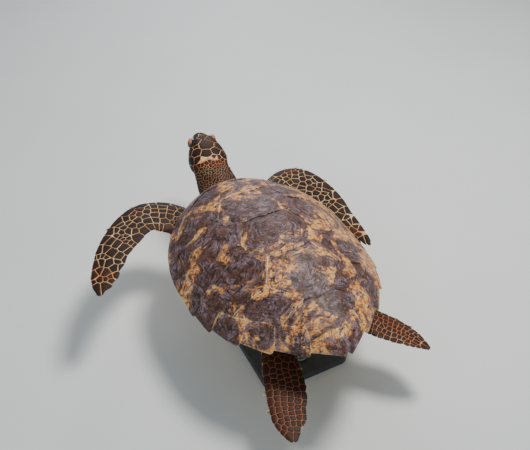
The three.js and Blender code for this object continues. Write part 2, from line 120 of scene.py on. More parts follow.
# %% Lights and sky
def soft_lamp(name, place, size, power, colour):
    data = bpy.data.lights.new(name, "AREA")
    data.shape = "DISK"
    data.size = size
    data.energy = power
    data.color = colour
    lamp = new_object(name, data)
    lamp.location = place
    lamp.rotation_euler = (BODY - place).to_track_quat("-Z", "Y").to_euler()


soft_lamp("key_lamp", Vector((0.9, 0.1, 2.4)), 0.7, 62, (1.0, 0.96, 0.90))
soft_lamp("fill_lamp", Vector((-1.9, -1.2, 1.5)), 1.8, 13, (0.90, 0.95, 1.0))
soft_lamp("rim_lamp", Vector((0.9, 2.1, 1.3)), 1.0, 16, (0.93, 0.97, 1.0))

sky = bpy.data.worlds.new("studio_sky")
sky.use_nodes = True
sky.node_tree.nodes["Background"].inputs["Color"].default_value = (0.80, 0.86, 0.92, 1)
sky.node_tree.nodes["Background"].inputs["Strength"].default_value = 0.36
bpy.context.scene.world = sky
print("lamps:", [item.name for item in bpy.data.lights])

# %% [markdown]
# Every finish is a small net of nodes, and a few helpers keep them short. One adds a node and
# plugs in its inputs, one blends two colours by a mask, and the rest are sums and textures.

# %% Helpers for finishes
def add(tree, kind, inputs=None, **settings):
    item = tree.nodes.new(kind)
    for key, value in settings.items():
        setattr(item, key, value)
    for key, value in (inputs or {}).items():
        socket = item.inputs[key]
        if isinstance(value, bpy.types.NodeSocket):
            tree.links.new(value, socket)
        else:
            socket.default_value = value
    return item


def blend_colour(tree, mask, first, second, how="MIX"):
    item = add(tree, "ShaderNodeMix", data_type="RGBA", blend_type=how)
    for index, value in ((0, mask), (6, first), (7, second)):
        if isinstance(value, bpy.types.NodeSocket):
            tree.links.new(value, item.inputs[index])
        else:
            item.inputs[index].default_value = value
    return item.outputs[2]


def mask_between(tree, value, start, end):
    """0 up to start, 1 from end on, and a soft rise between."""
    item = add(tree, "ShaderNodeMapRange", {"Value": value, "From Min": start, "From Max": end},
               interpolation_type="SMOOTHSTEP")
    return item.outputs["Result"]


def calc(tree, how, first, second=0.0):
    return add(tree, "ShaderNodeMath", {0: first, 1: second}, operation=how).outputs[0]


def times(tree, first, second):
    return calc(tree, "MULTIPLY", first, second)


def plus(tree, first, second):
    return calc(tree, "ADD", first, second)


def opposite(tree, value):
    return calc(tree, "SUBTRACT", 1.0, value)


def spots(tree, place, scale, detail=3.0, rough=0.55, twist=0.0):
    return add(tree, "ShaderNodeTexNoise", {"Vector": place, "Scale": scale, "Detail": detail,
                                            "Roughness": rough, "Distortion": twist}).outputs["Fac"]


def paint(hex_code):
    """A colour as it looks on screen, turned into the linear values that shaders use."""
    parts = [int(hex_code[i:i + 2], 16) / 255 for i in (1, 3, 5)]
    linear = [((part + 0.055) / 1.055) ** 2.4 if part > 0.04 else part / 12.92 for part in parts]
    return (*linear, 1)


def new_finish(name, rough, specular=0.5):
    finish = bpy.data.materials.new(name)
    finish.use_nodes = True
    shader = finish.node_tree.nodes["Principled BSDF"]
    shader.inputs["Roughness"].default_value = rough
    shader.inputs["Specular IOR Level"].default_value = specular
    return finish, finish.node_tree, shader


def bump(tree, shader, height, depth, strength=1.0):
    item = add(tree, "ShaderNodeBump", {"Height": height, "Distance": depth, "Strength": strength})
    tree.links.new(item.outputs["Normal"], shader.inputs["Normal"])


def own_place(tree):
    return add(tree, "ShaderNodeTexCoord").outputs["Object"]


def painted(tree, name):
    """A number that each vertex of the piece carries under this name."""
    return add(tree, "ShaderNodeAttribute", attribute_name=name).outputs["Fac"]


# %% [markdown]
# Pieces leave bmesh the same way: outward faces, smooth shading broken only at real edges,
# a finish, the body that they ride on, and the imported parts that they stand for.

# %% Helpers for pieces
WELD = 1e-6


def mesh_of(bm, name):
    mesh = bpy.data.meshes.new(name)
    bm.to_mesh(mesh)
    bm.free()
    return mesh


def finish_piece(name, bm, finish, stands_for=(), crease=50):
    bmesh.ops.recalc_face_normals(bm, faces=bm.faces)
    return finish_mesh(name, mesh_of(bm, name), finish, stands_for, crease)


def finish_mesh(name, mesh, finish, stands_for=(), crease=50):
    mesh.polygons.foreach_set("use_smooth", [True] * len(mesh.polygons))
    mesh.set_sharp_from_angle(angle=math.radians(crease))
    mesh.materials.append(finish)
    piece = new_object(name, mesh)
    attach(piece, "root")
    if stands_for:
        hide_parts(*stands_for)
    return piece


def pieces_named(text):
    return len([item for item in bpy.data.objects if text in item.name])


def cut_by_plane(bm, point, out, near=1e-5):
    """Cuts off all that lies beyond a plane, given by a point on it and the way out."""
    everything = bm.verts[:] + bm.edges[:] + bm.faces[:]
    bmesh.ops.bisect_plane(bm, geom=everything, plane_co=point, plane_no=out, clear_outer=True,
                           dist=near)


def close_holes(bm):
    rims = [edge for edge in bm.edges if edge.is_boundary]
    bmesh.ops.holes_fill(bm, edges=rims, sides=0)


def smoothstep(value, start, end):
    part = min(1.0, max(0.0, (value - start) / (end - start)))
    return part * part * (3 - 2 * part)


def lerp(first, second, part):
    return first + (second - first) * part


print("smooth step from 0 to 1:", [round(smoothstep(k / 4, 0, 1), 2) for k in range(5)])


# %% [markdown]
# The floor is a plain pale sheet, only there to catch the shadow. A breath of noise keeps it
# from looking like empty air.

# %% Floor
def make_floor():
    finish, tree, shader = new_finish("studio_floor", 0.75, 0.2)
    mask = spots(tree, own_place(tree), 3.0)
    tree.links.new(blend_colour(tree, mask, paint("#d6dadb"), paint("#dfe2e2")),
                   shader.inputs["Base Color"])
    bm = bmesh.new()
    bmesh.ops.create_grid(bm, x_segments=8, y_segments=8, size=5)
    mesh = mesh_of(bm, "floor")
    mesh.materials.append(finish)
    floor = new_object("floor", mesh)


make_floor()
print("floor laid")

# %% [markdown]
# ## The stand
# A flat base with rounded corners and two short rods. The base starts as a cube whose upright
# edges are rounded by bevel, then the top edge gets a small round. Each rod is a turned
# cylinder with a collar at its foot. The soft pad on top is cut by a plane that leans as the
# plastron does, so that the shell lies on the whole of it.

# %% Stand finishes
def stand_finish(name, hex_code, rough, metal, grain):
    finish, tree, shader = new_finish(name, rough)
    shader.inputs["Metallic"].default_value = metal
    place = own_place(tree)
    speckle = spots(tree, place, grain)
    shade = blend_colour(tree, speckle, paint(hex_code), (0.5, 0.5, 0.5, 1), "SOFT_LIGHT")
    tree.links.new(shade, shader.inputs["Base Color"])
    bump(tree, shader, speckle, 0.06 * MM)
    return finish


BASE_FINISH = stand_finish("powder_coated_base", "#3a3d40", 0.5, 0.0, 900)
ROD_FINISH = stand_finish("satin_steel_rod", "#8f9193", 0.3, 1.0, 250)
PAD_FINISH = stand_finish("felt_pad", "#1d1e20", 0.9, 0.0, 1400)

# %% Stand pieces
BASE_CORNER = 0.024
BASE_EDGE = 0.0025


def round_edges(bm, edges, reach, steps):
    bmesh.ops.bevel(bm, geom=edges, offset=reach, offset_type="OFFSET", segments=steps,
                    profile=0.5, affect="EDGES", material=-1)


def make_base():
    low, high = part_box("stand_base")
    middle = (low + high) / 2
    size = high - low
    bm = bmesh.new()
    bmesh.ops.create_cube(bm, size=1)
    bmesh.ops.scale(bm, vec=size, verts=bm.verts)
    bmesh.ops.translate(bm, vec=middle, verts=bm.verts)
    upright = [e for e in bm.edges if abs(e.verts[0].co.z - e.verts[1].co.z) > size.z / 2]
    round_edges(bm, upright, BASE_CORNER, 10)
    top = [e for e in bm.edges if all(v.co.z > middle.z for v in e.verts)]
    round_edges(bm, top, BASE_EDGE, 3)
    finish_piece("stand_plinth", bm, BASE_FINISH, ["stand_base"], crease=35)


def turned(bm, profile, centre, segments=40):
    """A turned piece: an upright profile of (radius, height) pairs spun round its axis."""
    points = [bm.verts.new(centre + Vector((radius, 0, height))) for radius, height in profile]
    edges = [bm.edges.new(pair) for pair in zip(points, points[1:])]
    bmesh.ops.spin(bm, geom=points + edges, cent=centre, axis=(0, 0, 1), angle=2 * math.pi,
                   steps=segments, use_merge=True)
    bmesh.ops.remove_doubles(bm, verts=bm.verts, dist=WELD)


COLLAR_RADIUS = 0.017
COLLAR_HEIGHT = 0.010
COLLAR_EDGE = 0.002
ROD_FILLET = 0.0006
PAD_THICK = 0.005
PAD_PROUD = 0.003
PAD_GAP = 0.0001
SOFT_EDGE = 0.001


def top_of_rod(node):
    """The rod's cut top: its height at the front and at the rear, and how steeply it leans."""
    low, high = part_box(node)
    middle = (low.z + high.z) / 2
    cut = [vert.co for vert in frame["nodes"][node].data.vertices if vert.co.z > middle]
    front = max(cut, key=lambda point: point.y)
    rear = min(cut, key=lambda point: point.y)
    return front.z, rear.z, (front.z - rear.z) / (front.y - rear.y)


def make_rod(node):
    low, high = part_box(node)
    centre = Vector(((low.x + high.x) / 2, (low.y + high.y) / 2, low.z))
    radius = (high.x - low.x) / 2
    front, rear, lean = top_of_rod(node)
    wide = radius + PAD_PROUD
    tall = min(front, rear) - abs(lean) * PAD_PROUD - PAD_THICK - low.z
    profile = [(0, 0), (COLLAR_RADIUS, 0), (COLLAR_RADIUS, COLLAR_HEIGHT - COLLAR_EDGE),
               (COLLAR_RADIUS - COLLAR_EDGE, COLLAR_HEIGHT), (radius + ROD_FILLET, COLLAR_HEIGHT),
               (radius, COLLAR_HEIGHT + ROD_FILLET), (radius, tall - SOFT_EDGE),
               (radius - SOFT_EDGE, tall), (0, tall)]
    bm = bmesh.new()
    turned(bm, profile, centre)
    finish_piece(node.replace("stand_", "stand_steel_"), bm, ROD_FINISH, [node], crease=30)

    bm = bmesh.new()
    foot = tall + PAD_GAP
    above = high.z - low.z + PAD_THICK
    pad = [(0, foot), (wide - SOFT_EDGE, foot), (wide, foot + SOFT_EDGE), (wide, above), (0, above)]
    turned(bm, pad, centre)
    on_top = Vector((centre.x, centre.y, (front + rear) / 2))
    cut_by_plane(bm, on_top, Vector((0, -lean, 1)), near=1e-7)
    close_holes(bm)
    slope = math.degrees(math.atan(-lean))
    print(f"{node}: {tall:.3f} m of steel, and a pad that leans {slope:.1f} degrees")
    finish_piece(node.replace("stand_rod", "stand_pad"), bm, PAD_FINISH, crease=30)


make_base()
for node in ("stand_rod_front", "stand_rod_rear"):
    make_rod(node)
print("stand made")

# %% [markdown]
# ## The shell's form
# Two numbers place a point of the shell: *along*, from 0 at its front edge to 1 at its rear,
# and *across*, from -1 at the left margin to 1 at the right. From them come the outline, the
# droop of the margin and the height of the dome.

# %% Outline and dome
HALF_WIDTH = 0.221
WIDEST_AT = 0.44
DOME_HEIGHT = 0.083
MARGIN_DROOP = 0.048


def half_width(along):
    if along < WIDEST_AT:
        part = min(1, (WIDEST_AT - along) / WIDEST_AT)
        return HALF_WIDTH * (1 - part ** 2.4) ** 0.6
    part = min(1, (along - WIDEST_AT) / (1 - WIDEST_AT))
    return HALF_WIDTH * (1 - part ** 2.65) ** 0.962


def margin_height(along):
    return -MARGIN_DROOP * math.sin(math.pi * min(1, max(0, along)))


def crest_height(along):
    return DOME_HEIGHT * max(0, math.sin(math.pi * min(1, max(0, along)) ** 0.85)) ** 0.8


def dome_height(along, across):
    out = min(1, abs(across))
    rise = 0.93 * (1 - out ** 2.1) ** 0.95 + 0.07 * (1 - out)
    return lerp(margin_height(along), crest_height(along), rise)


def y_at(along):
    return (0.5 - along) * SHELL_LENGTH


def along_at(y):
    return min(1, max(0, 0.5 - y / SHELL_LENGTH))


def plan(along, across):
    return Vector((across * half_width(along), y_at(along)))


def dome_at(x, y):
    along = along_at(y)
    return dome_height(along, x / max(0.001, half_width(along)))


print("shell outline:", [round(half_width(k / 4), 3) for k in range(5)])

# %% [markdown]
# The outline of every plate comes from a few seams. Plates of the spine meet on the midline,
# side plates meet at corners, and both end on the band of small marginal plates.

# %% Seams between the plates
RIM_BAND = 0.026
RIM_BAND_REAR = 0.044
MARGINAL_ENDS = [0.022, 0.055, 0.11, 0.185, 0.27, 0.36, 0.455, 0.55, 0.648, 0.76, 0.853, 0.932, 1]
SPINE_SEAMS = [0.2, 0.38, 0.575, 0.775]
SPINE_CORNERS = [0.28, 0.25, 0.22, 0.2]
SIDE_SEAMS = [0.3, 0.49, 0.672]
SIDE_CORNERS = [0.41, 0.36, 0.41]
COSTAL_ENDS = [0.055, 0.27, 0.55, 0.695, 0.88]
SEAM_POINT = 0.016


def inner_edge(along):
    outer = plan(along, 1)
    inward = (Vector((0, 0.010)) - outer).normalized()
    return outer + inward * lerp(RIM_BAND, RIM_BAND_REAR, smoothstep(along, 0.5, 0.9))


RIM_STATIONS = [lerp(start, end, k / 4) for start, end in zip(MARGINAL_ENDS, MARGINAL_ENDS[1:])
                for k in range(4)] + [1]
COSTAL_STATIONS = [min(RIM_STATIONS, key=lambda s: abs(s - end)) for end in COSTAL_ENDS]


def inner_run(start, end):
    between = [s for s in RIM_STATIONS if start + 1e-6 < s < end - 1e-6]
    return [inner_edge(s) for s in [start, *between, end]]


def mirrored(outline):
    return [Vector((-p.x, p.y)) for p in reversed(outline)]


def spine_seam(k):
    seam, corner = SPINE_SEAMS[k], SPINE_CORNERS[k]
    return [plan(seam, corner), plan(seam + SEAM_POINT, 0), plan(seam, -corner)]


def side_corner(k, side):
    return plan(SIDE_SEAMS[k], side * SIDE_CORNERS[k])


def nuchal_outline():
    first = MARGINAL_ENDS[0]
    right = [plan(0.0005, 1), plan(0.01, 1), plan(first, 1), inner_edge(first)]
    return mirrored(right) + right


def vertebral_outline(k):
    """The front runs straight between its corners: it passes under the plate before it."""
    if k == 0:
        front = inner_run(MARGINAL_ENDS[0], COSTAL_STATIONS[0])
        return mirrored(front) + front + spine_seam(0)
    front = [plan(SPINE_SEAMS[k - 1], side * SPINE_CORNERS[k - 1]) for side in (-1, 1)]
    if k == 4:
        rear = inner_run(COSTAL_STATIONS[4], 1)
        return front + rear + mirrored(rear)[1:]
    return front + [side_corner(k - 1, 1)] + spine_seam(k) + [side_corner(k - 1, -1)]


def costal_outline(k):
    outer = inner_run(COSTAL_STATIONS[k], COSTAL_STATIONS[k + 1])[::-1]
    inner = [plan(SPINE_SEAMS[k], SPINE_CORNERS[k])]
    if k > 0:
        inner.insert(0, side_corner(k - 1, 1))
    if k < 3:
        inner.append(side_corner(k, 1))
    return inner + outer


print("corners of the third spine plate:", len(vertebral_outline(2)))

# %% [markdown]
# ## Tortoiseshell
# Hawksbill horn is amber with dark streaks that fan out from each plate's oldest point. Every
# plate carries a map made for this: the angle round that point, and the distance from it.
# Noise read through that map becomes streaks, wider noise gives golden and cream patches,
# set more thickly toward the turtle's right side as painted light where the key lamp falls, and
# a number painted on each vertex, its distance from the plate's edge, pales the seams: partly
# pale horn, partly a painted highlight on the plates' edges.

# %% Tortoiseshell finish
def tortoiseshell_group():
    group = bpy.data.node_groups.new("tortoiseshell", "ShaderNodeTree")
    for name, kind in (("Fan", "NodeSocketVector"), ("Place", "NodeSocketVector"),
                       ("Edge", "NodeSocketFloat")):
        group.interface.new_socket(name, in_out="INPUT", socket_type=kind)
    for name, kind in (("Colour", "NodeSocketColor"), ("Height", "NodeSocketFloat"),
                       ("Wear", "NodeSocketFloat")):
        group.interface.new_socket(name, in_out="OUTPUT", socket_type=kind)
    inside = add(group, "NodeGroupInput")
    fan, place, edge = (inside.outputs[name] for name in ("Fan", "Place", "Edge"))
    apart = add(group, "ShaderNodeSeparateXYZ", {"Vector": place})
    growth = add(group, "ShaderNodeCombineXYZ", {
        "X": times(group, edge, 190.0), "Y": times(group, apart.outputs["X"], 36.0),
        "Z": times(group, apart.outputs["Y"], 36.0)})
    streak_map = add(group, "ShaderNodeMapping", {"Vector": fan, "Scale": (9.0, 22.0, 1.0)})
    lines = spots(group, growth.outputs[0], 1.0, 5.0, 0.68, 0.5)
    streaks = spots(group, streak_map.outputs[0], 1.0, 4.0, 0.65, 1.2)
    clouds = spots(group, place, 42.0, 5.0, 0.65, 0.8)
    patches = spots(group, place, 14.0, 4.0, 0.6, 0.9)
    ragged = spots(group, place, 95.0, 5.0, 0.7, 0.6)
    flecks = spots(group, place, 320.0, 4.0, 0.7)

    ground = blend_colour(group, mask_between(group, lines, 0.42, 0.60), paint("#2e1d1d"), paint("#937a82"))
    ground = blend_colour(group, mask_between(group, clouds, 0.42, 0.60), ground, paint("#5a3a2c"))
    grown = mask_between(group, plus(group, lines, times(group, ragged, 0.6)), 0.82, 0.92)
    fanned = mask_between(group, plus(group, streaks, times(group, clouds, 0.8)), 0.94, 1.04)
    dark = calc(group, "MAXIMUM", grown, times(group, fanned, 0.85))
    coloured = blend_colour(group, times(group, dark, 0.92), ground, paint("#1d1112"))
    near_seam = opposite(group, mask_between(group, edge, 2.0 * MM, 16 * MM))
    # Gold patches grow more common toward the turtle's right side, where the key lamp falls: part amber
    # horn, part painted light.
    rise = times(group, mask_between(group, apart.outputs["X"], -0.10, 0.22), 0.085)
    bias = plus(group, rise, times(group, near_seam, 0.060))
    gold_and_painted_light = mask_between(group, plus(group, patches, bias), 0.565, 0.64)
    torn = mask_between(group, plus(group, ragged, times(group, clouds, 0.5)), 0.66, 0.80)
    gold_and_painted_light = times(group, gold_and_painted_light, torn)
    gold = blend_colour(group, mask_between(group, ragged, 0.42, 0.66), paint("#b95b16"), paint("#f0b356"))
    gold = blend_colour(group, mask_between(group, flecks, 0.50, 0.70), gold, paint("#f8e5b8"))
    coloured = blend_colour(group, times(group, gold_and_painted_light, 0.93), coloured, gold)
    coloured = blend_colour(group, times(group, mask_between(group, flecks, 0.55, 0.70), 0.35),
                            coloured, paint("#b6a0a0"))
    # The pale line at the seams is partly pale horn and partly a painted highlight on the plates' rounded
    # edges.
    seam = opposite(group, mask_between(group, edge, 0.5 * MM, 2.6 * MM))
    seam = times(group, seam, mask_between(group, patches, 0.44, 0.58))
    seam = times(group, seam, mask_between(group, ragged, 0.36, 0.52))
    coloured = blend_colour(group, times(group, seam, 0.75), coloured, paint("#e6cda4"))

    rings = calc(group, "SINE", plus(group, times(group, edge, 2600.0),
                                     times(group, streaks, 5.0)))
    height = plus(group, times(group, rings, 0.22),
                  times(group, lines, 1.1))
    outside = add(group, "NodeGroupOutput")
    group.links.new(coloured, outside.inputs["Colour"])
    group.links.new(height, outside.inputs["Height"])
    group.links.new(flecks, outside.inputs["Wear"])
    return group


TORTOISESHELL = tortoiseshell_group()


def shell_finish():
    finish, tree, shader = new_finish("polished_tortoiseshell", 0.34, 0.32)
    fan = add(tree, "ShaderNodeUVMap", uv_map="growth").outputs[0]
    pattern = add(tree, "ShaderNodeGroup", node_tree=TORTOISESHELL)
    tree.links.new(fan, pattern.inputs["Fan"])
    tree.links.new(own_place(tree), pattern.inputs["Place"])
    tree.links.new(painted(tree, "edge"), pattern.inputs["Edge"])
    shade = blend_colour(tree, painted(tree, "under"), pattern.outputs["Colour"], paint("#d8c08a"))
    tree.links.new(shade, shader.inputs["Base Color"])
    gloss = add(tree, "ShaderNodeMapRange", {"Value": pattern.outputs["Wear"], "To Min": 0.36,
                                             "To Max": 0.62})
    tree.links.new(gloss.outputs["Result"], shader.inputs["Roughness"])
    shader.inputs["Coat Weight"].default_value = 0.06
    shader.inputs["Coat Roughness"].default_value = 0.25
    bump(tree, shader, pattern.outputs["Height"], 0.35 * MM)
    return finish


SHELL_FINISH = shell_finish()
print("tortoiseshell mixed")

# %% [markdown]
# ## Plates of the dome
# The plates overlap like roof tiles, which no other sea turtle's do. Each starts as a flat
# grid, cut to its outline by planes, with its rear edge carried on over the next plate. Then
# its vertices are lifted onto the dome, rising to the rear, and the sheet is given thickness.

# %% One overlapping plate
CELL = 0.0022
PLATE_DEPTH = 0.0028
PLATE_STEP = 0.003
OVERLAP = 0.006
SEAM_GAP = 0.0004
SPARE = 0.001
KEEL, KEEL_WIDTH = 0.0010, 0.011
EDGE_DROP, EDGE_WIDTH = 0.0011, 0.0028
RAGGED_PULL, RAGGED_WIDTH = 0.0016, 0.006
SLOW_SWELL, QUICK_SWELL, RIPPLE = 0.0009, 0.0005, 0.0003


def edges_of(outline):
    """Each side of a plate: a point on it, and the way out of the plate."""
    count = len(outline)
    area = sum(outline[i].cross(outline[(i + 1) % count]) for i in range(count))
    sides = []
    for i in range(count):
        start, end = outline[i], outline[(i + 1) % count]
        run = (end - start).normalized()
        out = Vector((run.y, -run.x)) if area > 0 else Vector((-run.y, run.x))
        sides.append((start, out))
    return sides


def cut_sheet(outline, rear_over, cell, sides):
    """A fine flat grid, a little larger than the outline, cut off along the given sides."""
    low = Vector((min(p.x for p in outline), min(p.y for p in outline) - rear_over))
    high = Vector((max(p.x for p in outline), max(p.y for p in outline)))
    size, middle = high - low, (low + high) / 2
    bm = bmesh.new()
    bmesh.ops.create_grid(bm, x_segments=round(size.x / cell), y_segments=round(size.y / cell),
                          size=0.5)
    bmesh.ops.scale(bm, vec=(size.x + SPARE, size.y + SPARE, 1), verts=bm.verts)
    bmesh.ops.translate(bm, vec=(middle.x, middle.y, 0), verts=bm.verts)
    for point, out in sides:
        cut_by_plane(bm, (*point, 0), (*out, 0))
    return bm


def dome_sides(outline, rear_over):
    """The sides of a plate on the dome: those that face the rear reach past the outline."""
    sides = []
    for start, out in edges_of(outline):
        past = rear_over * smoothstep(-out.y, 0.35, 0.8)
        sides.append((start + out * (past - SEAM_GAP), out))
    return sides


def depth_inside(x, y, sides):
    """How far a point lies inside the nearest side."""
    return min((start - Vector((x, y))).dot(out) for start, out in sides)


def fan_from(areola, x, y):
    """The angle and the distance of a point from a plate's oldest point."""
    arm = Vector((x, y)) - areola
    return math.atan2(arm.x, arm.y + 1e-9), arm.length


def relief(x, y, fan, radius, seed):
    """Low swellings that fan out with the streaks, and finer ripples of growth."""
    slow = noise.noise(Vector((fan * 2.2, radius * 9, seed)))
    quick = noise.noise(Vector((fan * 7.0, radius * 22, seed + 5)))
    ripple = noise.noise(Vector((x * 90, y * 90, seed)))
    return SLOW_SWELL * slow + QUICK_SWELL * quick + RIPPLE * ripple


def thicken(bm, depth):
    """Gives a sheet thickness: its copy is moved up or down, and walls join the two."""
    copied = bmesh.ops.extrude_face_region(bm, geom=bm.faces[:])
    for item in copied["geom"]:
        if isinstance(item, bmesh.types.BMVert):
            item.co.z += depth


def make_plate(name, node, outline, areola, keel=0.0, rear_over=OVERLAP):
    sides = dome_sides(outline, rear_over)
    bm = cut_sheet(outline, rear_over, CELL, sides)
    seed = sum(ord(letter) for letter in name) % 17
    fan_map = bm.loops.layers.uv.new("growth")
    edge_tag = bm.verts.layers.float.new("edge")
    bm.verts.layers.float.new("under")
    front = max(p.y for p in outline)
    rear = min(p.y for p in outline)
    heights = {}
    for vert in bm.verts:
        x, y = vert.co.x, vert.co.y
        inside = depth_inside(x, y, sides)
        vert[edge_tag] = max(0, inside)
        part = (front - y) / (front - rear)
        rise = PLATE_STEP * min(1.2, part)
        rounded = EDGE_DROP * max(0, 1 - inside / EDGE_WIDTH) ** 2
        ridge = keel * math.exp(-(x / KEEL_WIDTH) ** 2) * (0.35 + 0.65 * part)
        swelling = relief(x, y, *fan_from(areola, x, y), seed)
        heights[vert] = dome_at(x, y) + rise - rounded + ridge + swelling
    for vert in bm.verts:
        ragged = noise.noise(Vector((vert.co.x * 70, vert.co.y * 70, seed)))
        near_edge = max(0, 1 - vert[edge_tag] / RAGGED_WIDTH)
        pull = RAGGED_PULL * ragged * near_edge * smoothstep(-vert.co.y + rear, -0.03, 0)
        vert.co = Vector((vert.co.x, vert.co.y + pull, heights[vert])) + BODY
    for face in bm.faces:
        for loop in face.loops:
            flat = loop.vert.co - BODY
            fan, radius = fan_from(areola, flat.x, flat.y)
            loop[fan_map].uv = (fan * 0.5 + seed, radius * 2 + seed)
    thicken(bm, -PLATE_DEPTH)
    return finish_piece(name, bm, SHELL_FINISH, [node], crease=40)


def middle_of(outline):
    return sum(outline, Vector((0, 0))) / len(outline)


# %% Lay the plates
for k in range(5):
    outline = vertebral_outline(k)
    centre = middle_of(outline)
    rear = min(p.y for p in outline)
    make_plate(f"spine_plate_{k + 1}", f"vertebral_{k + 1}", outline,
               Vector((0, lerp(centre.y, rear, 0.75))), keel=KEEL)
for k in range(4):
    outline = costal_outline(k)
    centre = middle_of(outline)
    rear = min(p.y for p in outline)
    areola = Vector((centre.x * 0.8, lerp(centre.y, rear, 0.6)))
    make_plate(f"side_plate_right_{k + 1}", f"costal_right_{k + 1}", outline, areola)
    make_plate(f"side_plate_left_{k + 1}", f"costal_left_{k + 1}", mirrored(outline),
               Vector((-areola.x, areola.y)))
make_plate("neck_plate", "nuchal", nuchal_outline(), plan(0.02, 0), rear_over=0.003)
print("plates on the dome:", pieces_named("plate"))

# %% [markdown]
# ## The margin
# Twelve small plates run down each side. Each is a wedge, thick where it meets the dome and
# thin at its lip, and it ends in a tooth that points backward over the next one. A grid is
# wrapped round the wedge's section, its seam is welded and its two ends are filled.

# %% A grid wrapped into a closed body
def round_again(part):
    """Once round is back at the start."""
    return part if part < 0.9999 else 0.0


def wrapped(steps_along, steps_round, place):
    """place(u, v) gives a point: u runs from end to end, v once round the section."""
    bm = bmesh.new()
    bmesh.ops.create_grid(bm, x_segments=steps_along, y_segments=steps_round, size=0.5)
    for vert in bm.verts:
        vert.co = place(vert.co.x + 0.5, round_again(vert.co.y + 0.5))
    bmesh.ops.remove_doubles(bm, verts=bm.verts, dist=WELD)
    close_holes(bm)
    bmesh.ops.recalc_face_normals(bm, faces=bm.faces)
    return bm


print("a turn of 1 is a turn of", round_again(1))

# %% The plates of the margin
TOOTH = 0.007
TAIL_NOTCH = 0.007
RIM_OVER = 0.09
# Section of a marginal plate: part of the way out, and height above the dome in millimetres.
RIM_SECTION = [(0, 1.0), (0.1, 1.3), (0.25, 1.4), (0.45, 1.3), (0.65, 1.2), (0.82, 1.0), (0.93, 0.6),
               (0.985, -0.3), (1.0, -1.8), (0.985, -3.4), (0.93, -4.6), (0.8, -5.9), (0.6, -7.9),
               (0.4, -9.8), (0.2, -11.6), (0.03, -12.8), (0, -12.0), (0, -6.0)]
TOP_ROWS = 8
RIM_STEPS = 175
RIM_RISE, RIM_DROP = 1.5 * MM, 0.8 * MM
FROM_MIDLINE = 0.0003


def marginal_outer(end, part, last):
    """How far the lip is drawn in at this part of a plate: a tooth toward the rear."""
    tooth = TOOTH * smoothstep(end, 0.4, 0.8)
    if last and part > 0.98:
        return TAIL_NOTCH
    notch = tooth * (0.7 - min(1, part) ** 1.4) + 0.0006
    beyond = max(0, part - 1) / RIM_OVER
    return notch + (tooth * 1.1 + 0.003) * beyond ** 1.3


def make_marginal(side, number, start, end):
    last = number == len(MARGINAL_ENDS) - 1
    over = 0 if last else RIM_OVER
    rows = len(RIM_SECTION)
    steps_along = max(8, round((end - start) * RIM_STEPS))

    def place(u, v):
        part = u * (1 + over)
        along = min(1, start + (end - start) * part)
        row = v * rows
        lower = RIM_SECTION[int(row) % rows]
        upper = RIM_SECTION[(int(row) + 1) % rows]
        out = lerp(lower[0], upper[0], row - int(row))
        lift = lerp(lower[1], upper[1], row - int(row)) * MM
        inner, outer = inner_edge(along), plan(along, 1)
        run = (outer - inner).normalized()
        outer = outer - run * marginal_outer(end, part, last)
        inner = inner + run * SEAM_GAP
        point = inner.lerp(outer, out)
        point.x = max(FROM_MIDLINE, point.x)
        rise = RIM_RISE * min(1, part) if row < TOP_ROWS + 2 else 0
        rounded = RIM_DROP * max(0, 1 - min(part, 1 + over - part) / 0.05) ** 2
        seed = number * 3 + side
        z = dome_at(point.x, point.y) + lift + rise - (rounded if row < TOP_ROWS + 1 else 0)
        arm = Vector((part - 0.93, (0.85 - out) * 0.6))
        if row < TOP_ROWS:
            z += relief(point.x, point.y, math.atan2(arm.x, arm.y), arm.length * 0.05, seed) * 0.7
        wide = (outer - inner).length
        long = (end - start) * SHELL_LENGTH
        edge = min(out * wide, (1 - out) * wide + 0.001, part * long, (1 + over - part) * long)
        note = (math.atan2(arm.x, arm.y) * 0.5 + seed, arm.length * 0.08 + seed, max(0, edge),
                1.0 if TOP_ROWS + 2 <= row < rows - 1 else 0.0)
        return Vector((side * point.x, point.y, z)) + BODY, note

    bm = bmesh.new()
    bmesh.ops.create_grid(bm, x_segments=steps_along, y_segments=rows, size=0.5)
    fan_map = bm.loops.layers.uv.new("growth")
    edge_tag = bm.verts.layers.float.new("edge")
    under_tag = bm.verts.layers.float.new("under")
    notes = {}
    for vert in bm.verts:
        vert.co, notes[vert] = place(vert.co.x + 0.5, round_again(vert.co.y + 0.5))
        vert[edge_tag], vert[under_tag] = notes[vert][2:]
    for face in bm.faces:
        for loop in face.loops:
            loop[fan_map].uv = notes[loop.vert][:2]
    bmesh.ops.remove_doubles(bm, verts=bm.verts, dist=WELD)
    close_holes(bm)
    name = f"margin_plate_{'right' if side > 0 else 'left'}_{number}"
    node = "rim_right" if side > 0 else "rim_left"
    return finish_piece(name, bm, SHELL_FINISH, [node], crease=38)


for side in (1, -1):
    for number, (start, end) in enumerate(zip(MARGINAL_ENDS, MARGINAL_ENDS[1:]), 1):
        make_marginal(side, number, start, end)
print("plates of the margin:", pieces_named("margin_plate"))

# %% [markdown]
# ## Curves and tables
# Neck and limbs follow a smooth curve through a few points. Their widths come from short
# tables, read through a rounded curve so that no ring shows where a row is.

